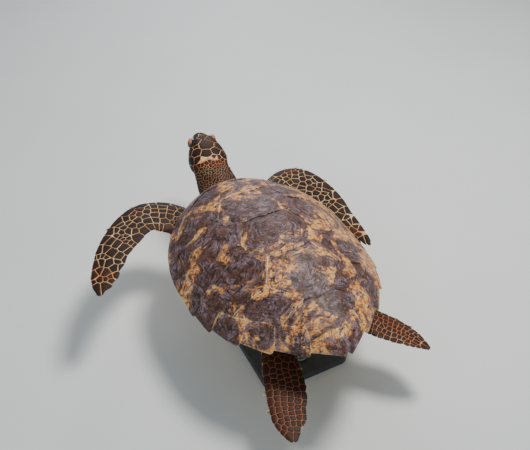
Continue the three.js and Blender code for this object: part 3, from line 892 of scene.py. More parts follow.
# %% Curves and tables
def curve_point(points, part):
    """A point of the smooth curve that passes through all of the given points."""
    spans = len(points) - 1
    place = min(1, max(0, part)) * spans
    k = min(spans - 1, int(place))
    weight = place - k
    p1, p2 = points[k], points[k + 1]
    p0 = points[k - 1] if k > 0 else p1 * 2 - p2
    p3 = points[k + 2] if k + 2 <= spans else p2 * 2 - p1
    d0, d1, d2 = ((b - a).length ** 0.5 for a, b in ((p0, p1), (p1, p2), (p2, p3)))
    t1 = ((p1 - p0) / d0 - (p2 - p0) / (d0 + d1) + (p2 - p1) / d1) * d1
    t2 = ((p2 - p1) / d1 - (p3 - p1) / (d1 + d2) + (p3 - p2) / d2) * d1
    c2 = p1 * -3 + p2 * 3 - t1 * 2 - t2
    c3 = p1 * 2 - p2 * 2 + t1 + t2
    return p1 + t1 * weight + c2 * weight ** 2 + c3 * weight ** 3


def curve_heading(points, part):
    near = 0.0002
    start, end = max(0, part - near), min(1, part + near)
    return (curve_point(points, end) - curve_point(points, start)).normalized()


def from_table(rows, at):
    """Every column of a table at one place, eased through its rows."""
    if at >= rows[-1][0]:
        return rows[-1][1:]
    k = max(0, next(i for i, row in enumerate(rows) if row[0] > at) - 1)
    before, first = rows[max(0, k - 1)], rows[k]
    second, after = rows[k + 1], rows[min(len(rows) - 1, k + 2)]
    span = second[0] - first[0]
    part = min(1, max(0, (at - first[0]) / span))
    values = []
    for column in range(1, len(first)):
        rise_in = (second[column] - before[column]) / (second[0] - before[0]) * span
        rise_out = (after[column] - first[column]) / (after[0] - first[0]) * span
        a, b = first[column], second[column]
        values.append(a + part * (rise_in + part * (3 * (b - a) - 2 * rise_in - rise_out
                                                     + part * (rise_in + rise_out - 2 * (b - a)))))
    return values


def round_ring(angle, sizes, power):
    """Out and up from the middle of a round section: sizes are width, height and depth."""
    wide, tall, deep = sizes
    c, s = math.cos(angle), math.sin(angle)
    out = wide * math.copysign(abs(c) ** (2 / power), c)
    rise = (tall if s > 0 else deep) * math.copysign(abs(s) ** (2 / power), s)
    return out, rise


# %% [markdown]
# ## One skin
# The flesh is made as plain bodies first, each a grid wrapped round its own rings: trunk,
# neck, head, tail and four blades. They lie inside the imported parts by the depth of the
# scales. Then one voxel remesh melts them into a single closed skin, and the folds, brows and
# sockets are pushed into it by formulas.

# %% Sizes of the body
# A form's row is the place along, then half the width and half the thickness there. Head and
# neck give height and depth in place of one thickness, and the tail gives y, height and size.
SCALE_DEPTH = 0.0010
HEAD_LENGTH = 0.157
HEAD_AT = Vector((0.0075, 0.369, -0.016))
HEAD_TURN = math.radians(-9)
HEAD_NOD = math.radians(7)
HEAD_TILT = math.radians(-1)
HEAD_FORM = [(0, .035, .026, .028), (.1, .044, .034, .036), (.26, .049, .038, .039),
             (.42, .0475, .039, .038), (.56, .041, .037, .0335), (.7, .032, .0305, .029),
             (.82, .0225, .022, .025), (.91, .015, .0135, .021), (.97, .0085, .006, .018),
             (1, .0035, 0, .016)]
HEAD_POWER = 2.3
EYE_ALONG, EYE_OUT, EYE_UP, EYE_RADIUS = 0.69, 0.025, 0.013, 0.013
NECK_FORM = [(0, .054, .036, .036), (.35, .055, .038, .042), (.65, .053, .036, .040),
             (1, .046, .033, .034)]
FRONT_FORM = [(0, .038, .023), (.14, .044, .021), (.3, .050, .016), (.46, .047, .011),
              (.64, .039, .0075), (.82, .029, .005), (.94, .017, .0034), (1, .006, .002)]
TAIL_ROOT, TAIL_TIP = (-0.190, -0.050, 0.020), (-0.258, -0.038, 0.0035)
HIND_FORM = [(0, .030, .018), (.25, .038, .015), (.5, .042, .009), (.72, .036, .0055),
             (.9, .022, .0036), (1, .008, .002)]


def in_metres(points):
    return [Vector(point) * MM for point in points]


BLADES = {
    "front_left": dict(side=-1, roll=(4, 0), form=FRONT_FORM, middle=in_metres(
        [(-94, 182, -64), (-134, 276, -50), (-202, 300, -34), (-296, 230, -28), (-352, 148, -32),
         (-376, 106, -36)])),
    "front_right": dict(side=1, roll=(6, 14), form=FRONT_FORM, middle=in_metres(
        [(96, 182, -64), (142, 262, -62), (200, 286, -58), (234, 204, -60), (236, 94, -62),
         (244, -6, -58)])),
    "hind_left": dict(side=-1, roll=(0, 0), form=HIND_FORM, middle=in_metres(
        [(-58, -122, -68), (-86, -172, -84), (-111, -248, -98), (-138, -316, -102),
         (-152, -360, -104)])),
    "hind_right": dict(side=1, roll=(0, -24), form=HIND_FORM, middle=in_metres(
        [(60, -116, -68), (112, -160, -86), (160, -212, -97), (190, -256, -101),
         (210, -296, -104)])),
}
HEAD_FRAME = (Matrix.Translation(BODY + HEAD_AT) @ Matrix.Rotation(HEAD_TURN, 4, "Z")
              @ Matrix.Rotation(HEAD_NOD, 4, "X") @ Matrix.Rotation(HEAD_TILT, 4, "Y"))
HEAD_INVERSE = HEAD_FRAME.inverted()
print("head starts at", [round(value, 3) for value in HEAD_FRAME.translation])

# %% Places on the head, neck and blades
def head_place(out, along, up):
    return HEAD_FRAME @ Vector((out, along * HEAD_LENGTH, up))


def head_ring(along, angle, grow=0.0):
    wide, tall, deep = from_table(HEAD_FORM, along)
    out, rise = round_ring(angle, (wide + grow, max(0.0015, tall + grow), deep + grow), HEAD_POWER)
    return head_place(out, along, rise)


NECK_LINE = [BODY + point for point in in_metres([(0, 232, -54), (3, 288, -50), (7, 335, -38)])]
NECK_LINE.append(head_place(0, 0.1, -0.002))


def neck_ring(along, angle, grow=0.0):
    forward = curve_heading(NECK_LINE, along)
    right = forward.cross(Vector((0, 0, 1))).normalized()
    up = right.cross(forward)
    out, rise = round_ring(angle, [size + grow for size in from_table(NECK_FORM, along)], 2)
    return curve_point(NECK_LINE, along) + right * out + up * rise


def blade_frame(blade, along):
    """The middle of a blade, the way to its leading edge, and its upward side."""
    forward = curve_heading(blade["middle"], along)
    lead = Vector((-forward.y, forward.x, 0)).normalized() * blade["side"]
    roll = math.radians(lerp(*blade["roll"], along))
    up = lead.cross(forward).normalized()
    if up.z < 0:
        up.negate()
    turned_lead = lead * math.cos(roll) + up * math.sin(roll)
    turned_up = up * math.cos(roll) - lead * math.sin(roll)
    return curve_point(blade["middle"], along) + BODY, turned_lead, turned_up


def blade_ring(blade, along, angle, grow=0.0):
    point, lead, up = blade_frame(blade, along)
    chord, thick = from_table(blade["form"], along)
    ahead, rise = math.cos(angle), math.sin(angle)
    height = rise * (0.78 + 0.3 * ahead) * thick
    height += math.copysign(1, rise) * grow * abs(rise) ** 0.5
    return point + lead * ahead * (chord + grow) + up * height


def tail_ring(along, angle, grow=0.0):
    y, up, size = (lerp(root, tip, along) for root, tip in zip(TAIL_ROOT, TAIL_TIP))
    size += grow
    out, rise = round_ring(angle, (size, size * 0.8, size * 0.8), 2)
    return BODY + Vector((out, y, up + rise))


# %% The plastron and the trunk above it
PLASTRON_LEVEL = -0.108
PLASTRON_DEPTH = 0.008
PLASTRON_FRONT, PLASTRON_REAR = 0.13, 0.82
PLASTRON_HALF_WIDTH, PLASTRON_HALF_END = 0.158, 0.038
PLASTRON_WING, PLASTRON_RISE = 0.040, 0.042
TRUNK_FRONT, TRUNK_REAR = 0.035, 0.90
UNDER_DOME, UNDER_RIM = 0.0082, 0.0152


def plastron_half_width(along):
    front = smoothstep(along, PLASTRON_FRONT - 0.02, 0.34)
    rear = 1 - smoothstep(along, 0.62, PLASTRON_REAR + 0.02)
    return PLASTRON_HALF_END + (PLASTRON_HALF_WIDTH - PLASTRON_HALF_END) * front * rear


def plastron_height(x, along):
    wing = PLASTRON_WING * min(1, abs(x) / 0.170) ** 5
    return PLASTRON_LEVEL + wing + PLASTRON_RISE * smoothstep(along, 0.4, 0.95)


def band_inner_at(y):
    edge = [inner_edge(k / 60) for k in range(61)]
    after = next((k for k, p in enumerate(edge) if p.y < y), 0)
    if after < 1:
        return 0.0
    a, b = edge[after - 1], edge[after]
    return lerp(a.x, b.x, (a.y - y) / (a.y - b.y))


def trunk_outline(along, inset):
    """Half of the trunk's section, from the midline at the top round to the bottom."""
    y = y_at(along)
    outer, inner = half_width(along), band_inner_at(y)
    under_plates = inner > 0.070
    shoulder = inner - 0.002 if under_plates else outer * 0.6
    drop = UNDER_DOME if under_plates else UNDER_RIM
    raised = 0.034 * (1 - smoothstep(along, 0.02, 0.17)) + 0.030 * smoothstep(along, 0.78, 0.97)
    bottom = plastron_height(0, along) + PLASTRON_DEPTH + 0.0006 + raised
    wide = lerp(shoulder, outer, lerp(0.55, 0.1, smoothstep(along, 0.6, 0.85)))
    flat = min(plastron_half_width(along), shoulder * 0.9)
    wing = max(bottom, plastron_height(flat, along) + PLASTRON_DEPTH + 0.0012)
    side_height = dome_at(wide, y) - UNDER_RIM

    def below(x, depth):
        return Vector((x, dome_at(x, y) - depth))
    half = [below(part * shoulder, drop) for part in (0, 0.25, 0.5, 0.75, 1)]
    half += [below(shoulder, UNDER_RIM), Vector((wide, side_height)),
             Vector((lerp(flat, wide, 0.75), lerp(wing, side_height, 0.45))),
             Vector((flat, wing)), Vector((flat * 0.6, bottom)), Vector((0, bottom))]
    middle = Vector((0, lerp(half[0].y, bottom, 0.5)))
    return [point + (middle - point).normalized() * inset for point in half]


TRUNK_POINTS = 20


def trunk_place(u, v):
    along = lerp(TRUNK_FRONT, TRUNK_REAR, u)
    half = trunk_outline(along, SCALE_DEPTH)
    index = round(v * TRUNK_POINTS) % TRUNK_POINTS
    mirror = index > TRUNK_POINTS // 2
    point = half[TRUNK_POINTS - index if mirror else index]
    return BODY + Vector((-point.x if mirror else point.x, y_at(along), point.y))


# %% [markdown]
# The bodies are joined and melted together. Voxels of about two millimetres keep the brow,
# the beak's corner and the thin trailing edges.

# %% Melt the bodies into one skin
VOXEL = 0.0020
TAU = 2 * math.pi


def join_into(bm, part):
    mesh = mesh_of(part, "part")
    bm.from_mesh(mesh)
    bpy.data.meshes.remove(mesh)


def settled(mesh, kind, only=(), **settings):
    """The mesh that one modifier makes of another, all over or only at some of its points."""
    holder = new_object("holder", mesh)
    modifier = holder.modifiers.new(kind.lower(), kind)
    if only:
        holder.vertex_groups.new(name="only").add(only, 1.0, "REPLACE")
        modifier.vertex_group = "only"
    for key, value in settings.items():
        setattr(modifier, key, value)
    graph = bpy.context.evaluated_depsgraph_get()
    result = bpy.data.meshes.new_from_object(holder.evaluated_get(graph))
    bpy.data.objects.remove(holder)
    return result


def melted_bodies():
    bodies = bmesh.new()
    inset = -SCALE_DEPTH
    parts = [wrapped(36, TRUNK_POINTS, trunk_place),
             wrapped(60, 64, lambda u, v: neck_ring(u, v * TAU, inset)),
             wrapped(76, 72, lambda u, v: head_ring(lerp(0, 0.985, u), v * TAU, inset - 0.0006)),
             wrapped(24, 24, lambda u, v: tail_ring(u, v * TAU, inset))]
    for blade in BLADES.values():
        parts.append(wrapped(130, 56, lambda u, v, b=blade: blade_ring(b, u, v * TAU, inset * 0.8)))
    for part in parts:
        join_into(bodies, part)
    return settled(mesh_of(bodies, "bodies"), "REMESH", mode="VOXEL", voxel_size=VOXEL,
                   use_smooth_shade=True)


skin_mesh = melted_bodies()
print("faces of the melted skin:", len(skin_mesh.polygons))

# %% [markdown]
# A point of the skin often has to know where on the animal it is: how far along a limb, and
# which way round. A cloud of points drawn on the plain bodies, each with its part, its place
# along and its angle, answers that by nearness.

# %% Where on the body a point lies
def draw_cloud():
    cloud = []

    def part(name, place, alongs, rounds):
        for i in range(alongs):
            for j in range(rounds):
                along, angle = (i + 0.5) / alongs, TAU * j / rounds
                cloud.append((place(along, angle), name, along, angle))
    part("head", head_ring, 44, 48)
    part("neck", neck_ring, 30, 44)
    part("tail", tail_ring, 14, 16)
    for name, blade in BLADES.items():
        part(name, lambda along, angle, b=blade: blade_ring(b, along, angle), 80, 36)
    part("trunk", lambda along, angle: trunk_place(along, angle / TAU), 40, TRUNK_POINTS)
    return cloud


CLOUD = draw_cloud()
CLOUD_TREE = kdtree.KDTree(len(CLOUD))
for index, sample in enumerate(CLOUD):
    CLOUD_TREE.insert(sample[0], index)
CLOUD_TREE.balance()


def whereabouts(point):
    """The part, the place along it and the angle round it of the nearest drawn point."""
    return CLOUD[CLOUD_TREE.find(point)[1]][1:]


print("points in the cloud:", len(CLOUD))

# %% [markdown]
# Now the skin gets its anatomy. Near each eye the surface is pushed in behind the eyeball; a
# brow stands over it; jaw muscle swells the cheek; the mouth line runs back from the beak; and
# the neck and the limb roots carry shallow wrinkles where they bend.

# %% Folds, brows and sockets
# Place along, out, up, reach and height of the swellings: brow, behind the brow, and cheek.
SWELLINGS = [(0.66, 0.030, 0.026, 0.011, 0.0026), (0.56, 0.034, 0.022, 0.010, 0.0012),
             (0.27, 0.044, -0.008, 0.020, 0.0016)]
MOUTH_GROOVE, MOUTH_REACH = 0.0024, 0.0016
LIP, LIP_REACH, LIP_OVER = 0.0010, 0.003, 0.005
CROWN_GROOVE, CROWN_REACH = 0.0008, 0.012
# Depth of the folds in the skin, and the space between them.
FOLDS = {"neck": (0.0016, 0.013), "tail": (0.0008, 0.009)}
BLADE_FOLD, BLADE_FOLD_SPACE = 0.0016, 0.014
SOCKET_RADIUS = 0.0114
SOCKET_WIDE = 0.0175
SMOOTH_ROUNDS = 18
MOUTH_BACK, MOUTH_FRONT, MOUTH_UP = 0.50, 0.74, -0.013


def eye_centre(side):
    return head_place(side * EYE_OUT, EYE_ALONG, EYE_UP)


def eye_axes(side):
    """Out of the eye, forward along it, and up: eyes look outward, a little forward and up."""
    turn = HEAD_FRAME.to_3x3()
    out = (turn @ Vector((side, 0.16, 0.20))).normalized()
    up = turn @ Vector((0, 0, 1))
    up = (up - out * up.dot(out)).normalized()
    forward = up.cross(out) * side
    return out, forward, up


EYE_FRAMES = {side: (eye_centre(side), *eye_axes(side)) for side in (-1, 1)}


def bell(gap, height, reach):
    """A soft swelling: its full height in the middle, and little left of it at its reach."""
    return height * math.exp(-(gap / reach) ** 2)


def head_push(point):
    """How far the skin of the head moves out along its normal at a point."""
    local = HEAD_INVERSE @ point
    along = local.y / HEAD_LENGTH
    push = 0.0
    for middle, out, up, reach, height in SWELLINGS:
        gap = Vector((abs(local.x) - out, local.y - middle * HEAD_LENGTH, local.z - up)).length
        push += bell(gap, height, reach)
    line = MOUTH_UP - 0.004 * smoothstep(-along, -MOUTH_FRONT, -MOUTH_BACK)
    fade = smoothstep(along, MOUTH_BACK, MOUTH_BACK + 0.08) * (1 - smoothstep(along, 0.76, 0.80))
    push -= bell(local.z - line, MOUTH_GROOVE * fade, MOUTH_REACH)
    push += bell(local.z - line - LIP_OVER, LIP * fade, LIP_REACH)
    crown = bell(local.x, 1, CROWN_REACH) * smoothstep(local.z, 0.015, 0.03)
    push -= CROWN_GROOVE * crown * smoothstep(along, 0.3, 0.5)
    return push


def wrinkle(point, heading, depth, spacing):
    """Folds that run across the way a part points, broken up so that none goes right round."""
    wander = noise.noise(point * 26) * 1.6
    wave = math.sin((point.dot(heading) / spacing) * TAU + wander * 2.2)
    patchy = 0.5 + 0.5 * noise.noise(point * 38 + Vector((3, 1, 7)))
    return depth * (abs(wave) ** 0.6 * math.copysign(1, wave) - 0.4) * patchy


def skin_push(point, part, along):
    if part == "head":
        return head_push(point) - 0.0005 * smoothstep(-along, -0.12, 0)
    if part == "neck":
        return wrinkle(point, curve_heading(NECK_LINE, along), *FOLDS["neck"])
    if part == "trunk":
        return 0.0012 * noise.noise(point * 60)
    if part == "tail":
        return wrinkle(point, Vector((0, 1, 0)), *FOLDS["tail"])
    root = 1 - smoothstep(along, 0.12, 0.36)
    heading = curve_heading(BLADES[part]["middle"], along)
    folds = wrinkle(point, heading, BLADE_FOLD * root, BLADE_FOLD_SPACE)
    return folds + 0.0007 * noise.noise(point * 45) * (1 - root)


JUNCTIONS = [(BODY + Vector((0, 0.235, -0.050)), 0.120), (head_place(0, 0.03, 0), 0.055),
             (BODY + Vector((0, -0.195, -0.050)), 0.035)]
JUNCTIONS += [(BODY + blade["middle"][0].lerp(blade["middle"][1], 0.35), 0.085)
              for blade in BLADES.values()]


def shape_skin(mesh):
    bm = bmesh.new()
    bm.from_mesh(mesh)
    for centre, reach in JUNCTIONS:
        near = [vert for vert in bm.verts if (vert.co - centre).length_squared < reach * reach]
        for _ in range(SMOOTH_ROUNDS):
            bmesh.ops.smooth_vert(bm, verts=near, factor=0.5, use_axis_x=True, use_axis_y=True,
                                  use_axis_z=True)
    bm.normal_update()
    moves = {}
    for vert in bm.verts:
        part, along, _ = whereabouts(vert.co)
        moves[vert] = vert.co + vert.normal * skin_push(vert.co, part, along)
    for vert, place in moves.items():
        for centre, out, _, _ in EYE_FRAMES.values():
            arm = place - centre
            if arm.length < SOCKET_WIDE and arm.dot(out) > 0.25 * arm.length:
                place = centre + arm.normalized() * min(arm.length, SOCKET_RADIUS)
        vert.co = place
    bm.to_mesh(mesh)
    bm.free()


shape_skin(skin_mesh)
print("skin shaped; faces:", len(skin_mesh.polygons))

# %% [markdown]
# ## Laying out the scales
# Each scale starts as a seed: a place on the skin and a size. Large ones stand in rows along
# the blades, or are listed one by one on the head, where every hawksbill has the same few shields.
# Small granules then fill what is left, at a spacing that each part of the body sets.

# %% Seeds for the scales
skin_co = np.zeros(len(skin_mesh.vertices) * 3)
skin_mesh.vertices.foreach_get("co", skin_co)
skin_co = skin_co.reshape(-1, 3)
face_centres = np.array([face.center for face in skin_mesh.polygons])
face_normals = np.array([face.normal for face in skin_mesh.polygons])
face_verts = [tuple(face.vertices) for face in skin_mesh.polygons]
FACE_TREE = kdtree.KDTree(len(face_centres))
for index, centre in enumerate(face_centres):
    FACE_TREE.insert(centre, index)
FACE_TREE.balance()

seeds = []


def sow(point, reach, part, along, angle, wraps=False, bare=False):
    place, face, _ = FACE_TREE.find(point)
    seeds.append(dict(place=Vector(place), normal=Vector(face_normals[face]), face=face, reach=reach,
                      part=part, along=along, angle=angle, wraps=wraps, bare=bare))


def sow_head(out_angle, along, reach, sides=(1, -1)):
    """out_angle: 0 at the side of the head, 90 on its crown, below 0 under the cheek."""
    for side in sides:
        angle = math.radians(out_angle if side > 0 else 180 - out_angle)
        sow(head_ring(along, angle), reach, "head", along, angle % TAU)


# Angle, place along, reach in mm, and on how many sides: 1 is on the right or on the crown.
HEAD_SHIELDS = {
    "frontoparietal": [(88, 0.445, 18.5, 1)],
    "frontal": [(87, 0.69, 8.5, 1)],
    "parietal": [(95, 0.235, 12.5, 1), (123, 0.325, 12.0, 1), (66, 0.255, 11.5, 1)],
    "supraocular": [(57, 0.585, 14.0, 2)],
    "prefrontal": [(64, 0.79, 9.0, 2), (66, 0.875, 6.0, 2), (90, 0.775, 5.5, 1)],
    "upper_temporal": [(50, 0.385, 10.0, 1), (42, 0.20, 10.0, 1), (131, 0.175, 9.0, 1), (27, 0.45, 9.5, 2),
                       (19, 0.25, 10.0, 2)],
    "nape": [(79, 0.128, 4.0, 1)],
    "postocular": [(8, 0.525, 7.0, 2), (-12, 0.54, 6.5, 2), (-28, 0.58, 6.0, 2)],
    "temporal": [(-1, 0.37, 9.0, 2), (-4, 0.20, 9.0, 2), (-24, 0.40, 8.5, 2), (-26, 0.25, 8.5, 2),
                 (16, 0.07, 8.0, 2), (-14, 0.07, 7.0, 2)],
    "mandible": [(-48, 0.61, 9.0, 2), (-48, 0.48, 8.5, 2), (-46, 0.36, 7.5, 2), (-46, 0.23, 7.0, 2)],
}
for shields in HEAD_SHIELDS.values():
    for out_angle, along, reach, count in shields:
        sow_head(out_angle, along, reach * MM, (1, -1) if count == 2 else (1,))
print("shields on the head:", len(seeds))

# A bare cream band crosses the nape. These seeds hold its place, but grow no scale.
NAPE_BAND = [(128, 0.120), (122, 0.126), (116, 0.130), (110, 0.131), (104, 0.129), (98, 0.124),
             (92, 0.114), (86, 0.103), (80, 0.098), (74, 0.104)]
BAND_REACH = 0.0024
for degrees, along in NAPE_BAND:
    turn = math.radians(degrees)
    sow(head_ring(along, turn), BAND_REACH, "head", along, turn, bare=True)

# %% [markdown]
# On a blade a row is a line of scales at one distance across, from the leading edge (+1) to
# the trailing edge (-1). Along a blade, places are measured by true length.

# %% Rows on the blades
def length_table(blade, steps=120):
    total, table = 0.0, [(0.0, 0.0)]
    last = curve_point(blade["middle"], 0)
    for k in range(1, steps + 1):
        here = curve_point(blade["middle"], k / steps)
        total += (here - last).length
        table.append((total, k / steps))
        last = here
    return total, table


def along_for(blade, fraction):
    total, table = blade["lengths"]
    wanted = fraction * total
    k = next((k for k, row in enumerate(table) if row[0] >= wanted), len(table) - 1)
    (a, p), (b, q) = table[max(0, k - 1)], table[k]
    return lerp(p, q, (wanted - a) / (b - a)) if b > a else q


# Across, from, to, count, reach in mm, and whether the scale wraps over the edge. A tip is
# across, place along and reach.
FRONT_ROWS = [
    (0.88, 0.27, 0.91, 9, 16.5, True),
    (0.50, 0.20, 0.60, 9, 8.2, False), (0.46, 0.62, 0.89, 4, 12.0, False),
    (0.20, 0.22, 0.60, 10, 7.0, False), (0.02, 0.64, 0.89, 4, 12.5, False),
    (-0.12, 0.24, 0.58, 7, 10.0, False), (-0.44, 0.27, 0.58, 5, 13.0, False),
    (-0.50, 0.63, 0.87, 3, 12.0, False),
    (-0.88, 0.22, 0.60, 6, 18.0, True), (-0.92, 0.66, 0.91, 4, 12.5, True),
]
FRONT_TIP = [(0.50, 0.965, 15.0), (-0.40, 0.955, 15.0)]
FRONT_UNDER = [(0.55, 0.30, 0.92, 13, 10.5, False), (0.12, 0.28, 0.92, 15, 9.5, False),
               (-0.30, 0.28, 0.92, 13, 10.5, False)]
HIND_ROWS = [
    (0.90, 0.34, 0.92, 8, 10.5, True), (0.50, 0.32, 0.90, 12, 7.0, False),
    (0.18, 0.30, 0.88, 13, 6.2, False), (-0.14, 0.34, 0.88, 13, 6.2, False),
    (-0.50, 0.36, 0.88, 11, 7.0, False), (-0.88, 0.40, 0.90, 8, 8.5, True),
]
HIND_TIP = [(0.5, 0.965, 11.0), (-0.35, 0.97, 11.0)]
HIND_UNDER = [(0.5, 0.32, 0.92, 9, 8.5, False), (0.0, 0.32, 0.92, 9, 8.5, False),
              (-0.5, 0.36, 0.92, 8, 8.5, False)]


def sow_row(name, row, upper, chance):
    across, start, end, count, reach, wraps = row
    blade = BLADES[name]
    for k in range(count):
        fraction = lerp(start, end, (k + 0.5) / count)
        fraction += chance.uniform(-0.2, 0.2) * (end - start) / count
        taper = 1 - 0.28 * smoothstep(fraction, 0.55, 0.95)
        spot = across + chance.uniform(-0.04, 0.04) * (0 if wraps else 1)
        angle = math.acos(max(-1, min(1, spot)))
        if not upper:
            angle = TAU - angle
        along = along_for(blade, fraction)
        size = reach * MM * taper * chance.uniform(0.88, 1.10)
        sow(blade_ring(blade, along, angle), size, name, along, angle, wraps)


def sow_blade(name, upper_rows, tip, under_rows, chance):
    blade = BLADES[name]
    blade["lengths"] = length_table(blade)
    for row in upper_rows:
        sow_row(name, row, True, chance)
    for row in under_rows:
        sow_row(name, row, False, chance)
    for across, fraction, reach in tip:
        along = along_for(blade, fraction)
        angle = math.acos(across)
        sow(blade_ring(blade, along, angle), reach * MM, name, along, angle, True)


for name in BLADES:
    chance = random.Random(name.split("_")[0])
    if name.startswith("front"):
        sow_blade(name, FRONT_ROWS, FRONT_TIP, FRONT_UNDER, chance)
    else:
        sow_blade(name, HIND_ROWS, HIND_TIP, HIND_UNDER, chance)
print("seeds after the rows:", len(seeds))


# %% [markdown]
# The rest is filled by dart throwing: a random spot on the skin is kept only if no earlier
# seed is too near. Spots that the shell hides, or that lie on the beak and eyes, are left out.

# %% Granules between the large scales
SHIELD_FROM = 5 * MM
MOST_TRIES = 150000
EYE_CLEAR = 0.0155
GRANULES = {"neck": 3.0, "tail": 3.6, "trunk": 4.2}
CHIN_GRANULE, ROOT_GRANULE, WIDE_GRANULE = 3.6, 3.5, 4.6


def granule_reach(part, along, angle, normal):
    """Granules are finest on the neck, under the chin and at the roots of the blades."""
    if part in GRANULES:
        return GRANULES[part] * MM
    if part == "head":
        below = normal.z < -0.3 or math.sin(angle) < -0.5
        return (CHIN_GRANULE if below else WIDE_GRANULE) * MM
    return (ROOT_GRANULE if along < 0.22 else WIDE_GRANULE) * MM


def covered(place, part, normal):
    """True where shell, plastron, beak or eye hides the skin."""
    flat = place - BODY
    if part == "head":
        local = HEAD_INVERSE @ place
        along = local.y / HEAD_LENGTH
        behind = 0.715 if local.z > MOUTH_UP else 0.665
        on_eye = any((place - centre).length < EYE_CLEAR for centre, *_ in EYE_FRAMES.values())
        return along > behind or on_eye
    along = along_at(flat.y)
    inside = abs(flat.x) < half_width(along) - 0.006 and 0.01 < along < 0.985
    if inside and flat.z > dome_at(flat.x, flat.y) - 0.010:
        return True
    if part == "trunk":
        on_plastron = abs(flat.x) < plastron_half_width(along) - 0.004
        between = PLASTRON_FRONT + 0.008 < along < PLASTRON_REAR - 0.008
        return (inside and normal.z > 0.2) or (on_plastron and between)
    return False


class Spacing:
    """Finds seeds near a place, by the small cube that each lies in."""
    CUBE = 0.012

    def __init__(self):
        self.cubes = {}

    def key(self, place):
        return tuple(math.floor(value / self.CUBE) for value in place)

    def put(self, seed):
        self.cubes.setdefault(self.key(seed["place"]), []).append(seed)

    def near(self, place, span=1):
        x, y, z = self.key(place)
        steps = range(-span, span + 1)
        for i in steps:
            for j in steps:
                for k in steps:
                    yield from self.cubes.get((x + i, y + j, z + k), ())


def apart_enough(place, normal, reach, other):
    """Large scales keep a wider berth, and one that wraps an edge keeps it on both sides."""
    if other["normal"].dot(normal) < -0.2 and not other["wraps"]:
        return True
    berth = other["reach"] * (1.18 if other["reach"] > SHIELD_FROM else 0.84)
    return (place - other["place"]).length > reach + berth


def fill_with_granules():
    spacing = Spacing()
    for seed in seeds:
        spacing.put(seed)
    chance = np.random.default_rng(7)
    tries = min(MOST_TRIES, len(face_centres))
    for face in chance.choice(len(face_centres), size=tries, replace=False):
        place = Vector(face_centres[face])
        normal = Vector(face_normals[face])
        part, along, angle = whereabouts(place)
        if covered(place, part, normal):
            continue
        reach = granule_reach(part, along, angle, normal)
        if all(apart_enough(place, normal, reach, other) for other in spacing.near(place, 2)):
            sow(place, reach, part, along, angle)
            spacing.put(seeds[-1])
    return spacing


SPACING = fill_with_granules()
print("seeds in all:", len(seeds))

# %% [markdown]
# ## Cutting the scales
# A scale is a patch of the skin itself. It is copied from round its seed and cut by a plane
# toward every neighbour; the larger scale keeps the larger share. A gap is left for the pale
# line between them. The patch is extruded into a closed plate, its foot sunk in the skin and
# its top swelling away from its edges.

# %% One scale
LINE_WIDE = 0.0016
LINE_NARROW = 0.0011
FOOT = 0.0011
BOUND_SIDES = 10
GRANULE_HEIGHT, GRANULE_SHOULDER = 0.0009, 0.0014
SHIELD_HEIGHT, SHIELD_SHOULDER = 0.0012, 0.0030


def line_between(seed, other):
    """The pale line is narrow between granules, and wide round shields."""
    return LINE_WIDE if max(seed["reach"], other["reach"]) > SHIELD_FROM else LINE_NARROW


def edge_neighbours():
    by_edge, beside = {}, [[] for _ in face_verts]
    for index, corners in enumerate(face_verts):
        for a, b in zip(corners, corners[1:] + corners[:1]):
            key = (a, b) if a < b else (b, a)
            if key in by_edge:
                other = by_edge[key]
                beside[index].append(other)
                beside[other].append(index)
            else:
                by_edge[key] = index
    return beside


BESIDE = edge_neighbours()


def cutting_planes(seed):
    """A plane toward each neighbour, as a point on it and the way out of the scale."""
    planes = []
    span = 3 if seed["reach"] > 9 * MM else 2
    for other in SPACING.near(seed["place"], span):
        if other is seed:
            continue
        arm = other["place"] - seed["place"]
        apart = arm.length
        if apart > (seed["reach"] + other["reach"]) * 2.0 or apart < 1e-5:
            continue
        if seed["normal"].dot(other["normal"]) < -0.1 and not (seed["wraps"] or other["wraps"]):
            continue
        share = 0.5 + (seed["reach"] ** 2 - other["reach"] ** 2) / (2 * apart * apart)
        share = min(0.85, max(0.15, share))
        out = arm / apart
        planes.append((seed["place"] + arm * share - out * line_between(seed, other) / 2, out))
    return planes


def patch_faces(seed, planes):
    """Faces of the skin inside every plane, joined edge to edge with the seed's own."""
    points = np.array([list(point) for point, _ in planes])
    outs = np.array([list(out) for _, out in planes])
    limit = (points * outs).sum(1)
    reach = seed["reach"] * 2.1 + 0.003
    centre = np.array(seed["place"])
    lowest = -1.1 if seed["wraps"] else 0.0
    normal = np.array(seed["normal"])
    kept, queue = {seed["face"]}, [seed["face"]]
    while queue:
        face = queue.pop()
        for other in BESIDE[face]:
            if other in kept:
                continue
            here = face_centres[other]
            if ((here - centre) ** 2).sum() > reach * reach:
                continue
            if (outs @ here - limit).max() > VOXEL * 1.3 or face_normals[other] @ normal < lowest:
                continue
            kept.add(other)
            queue.append(other)
    return kept


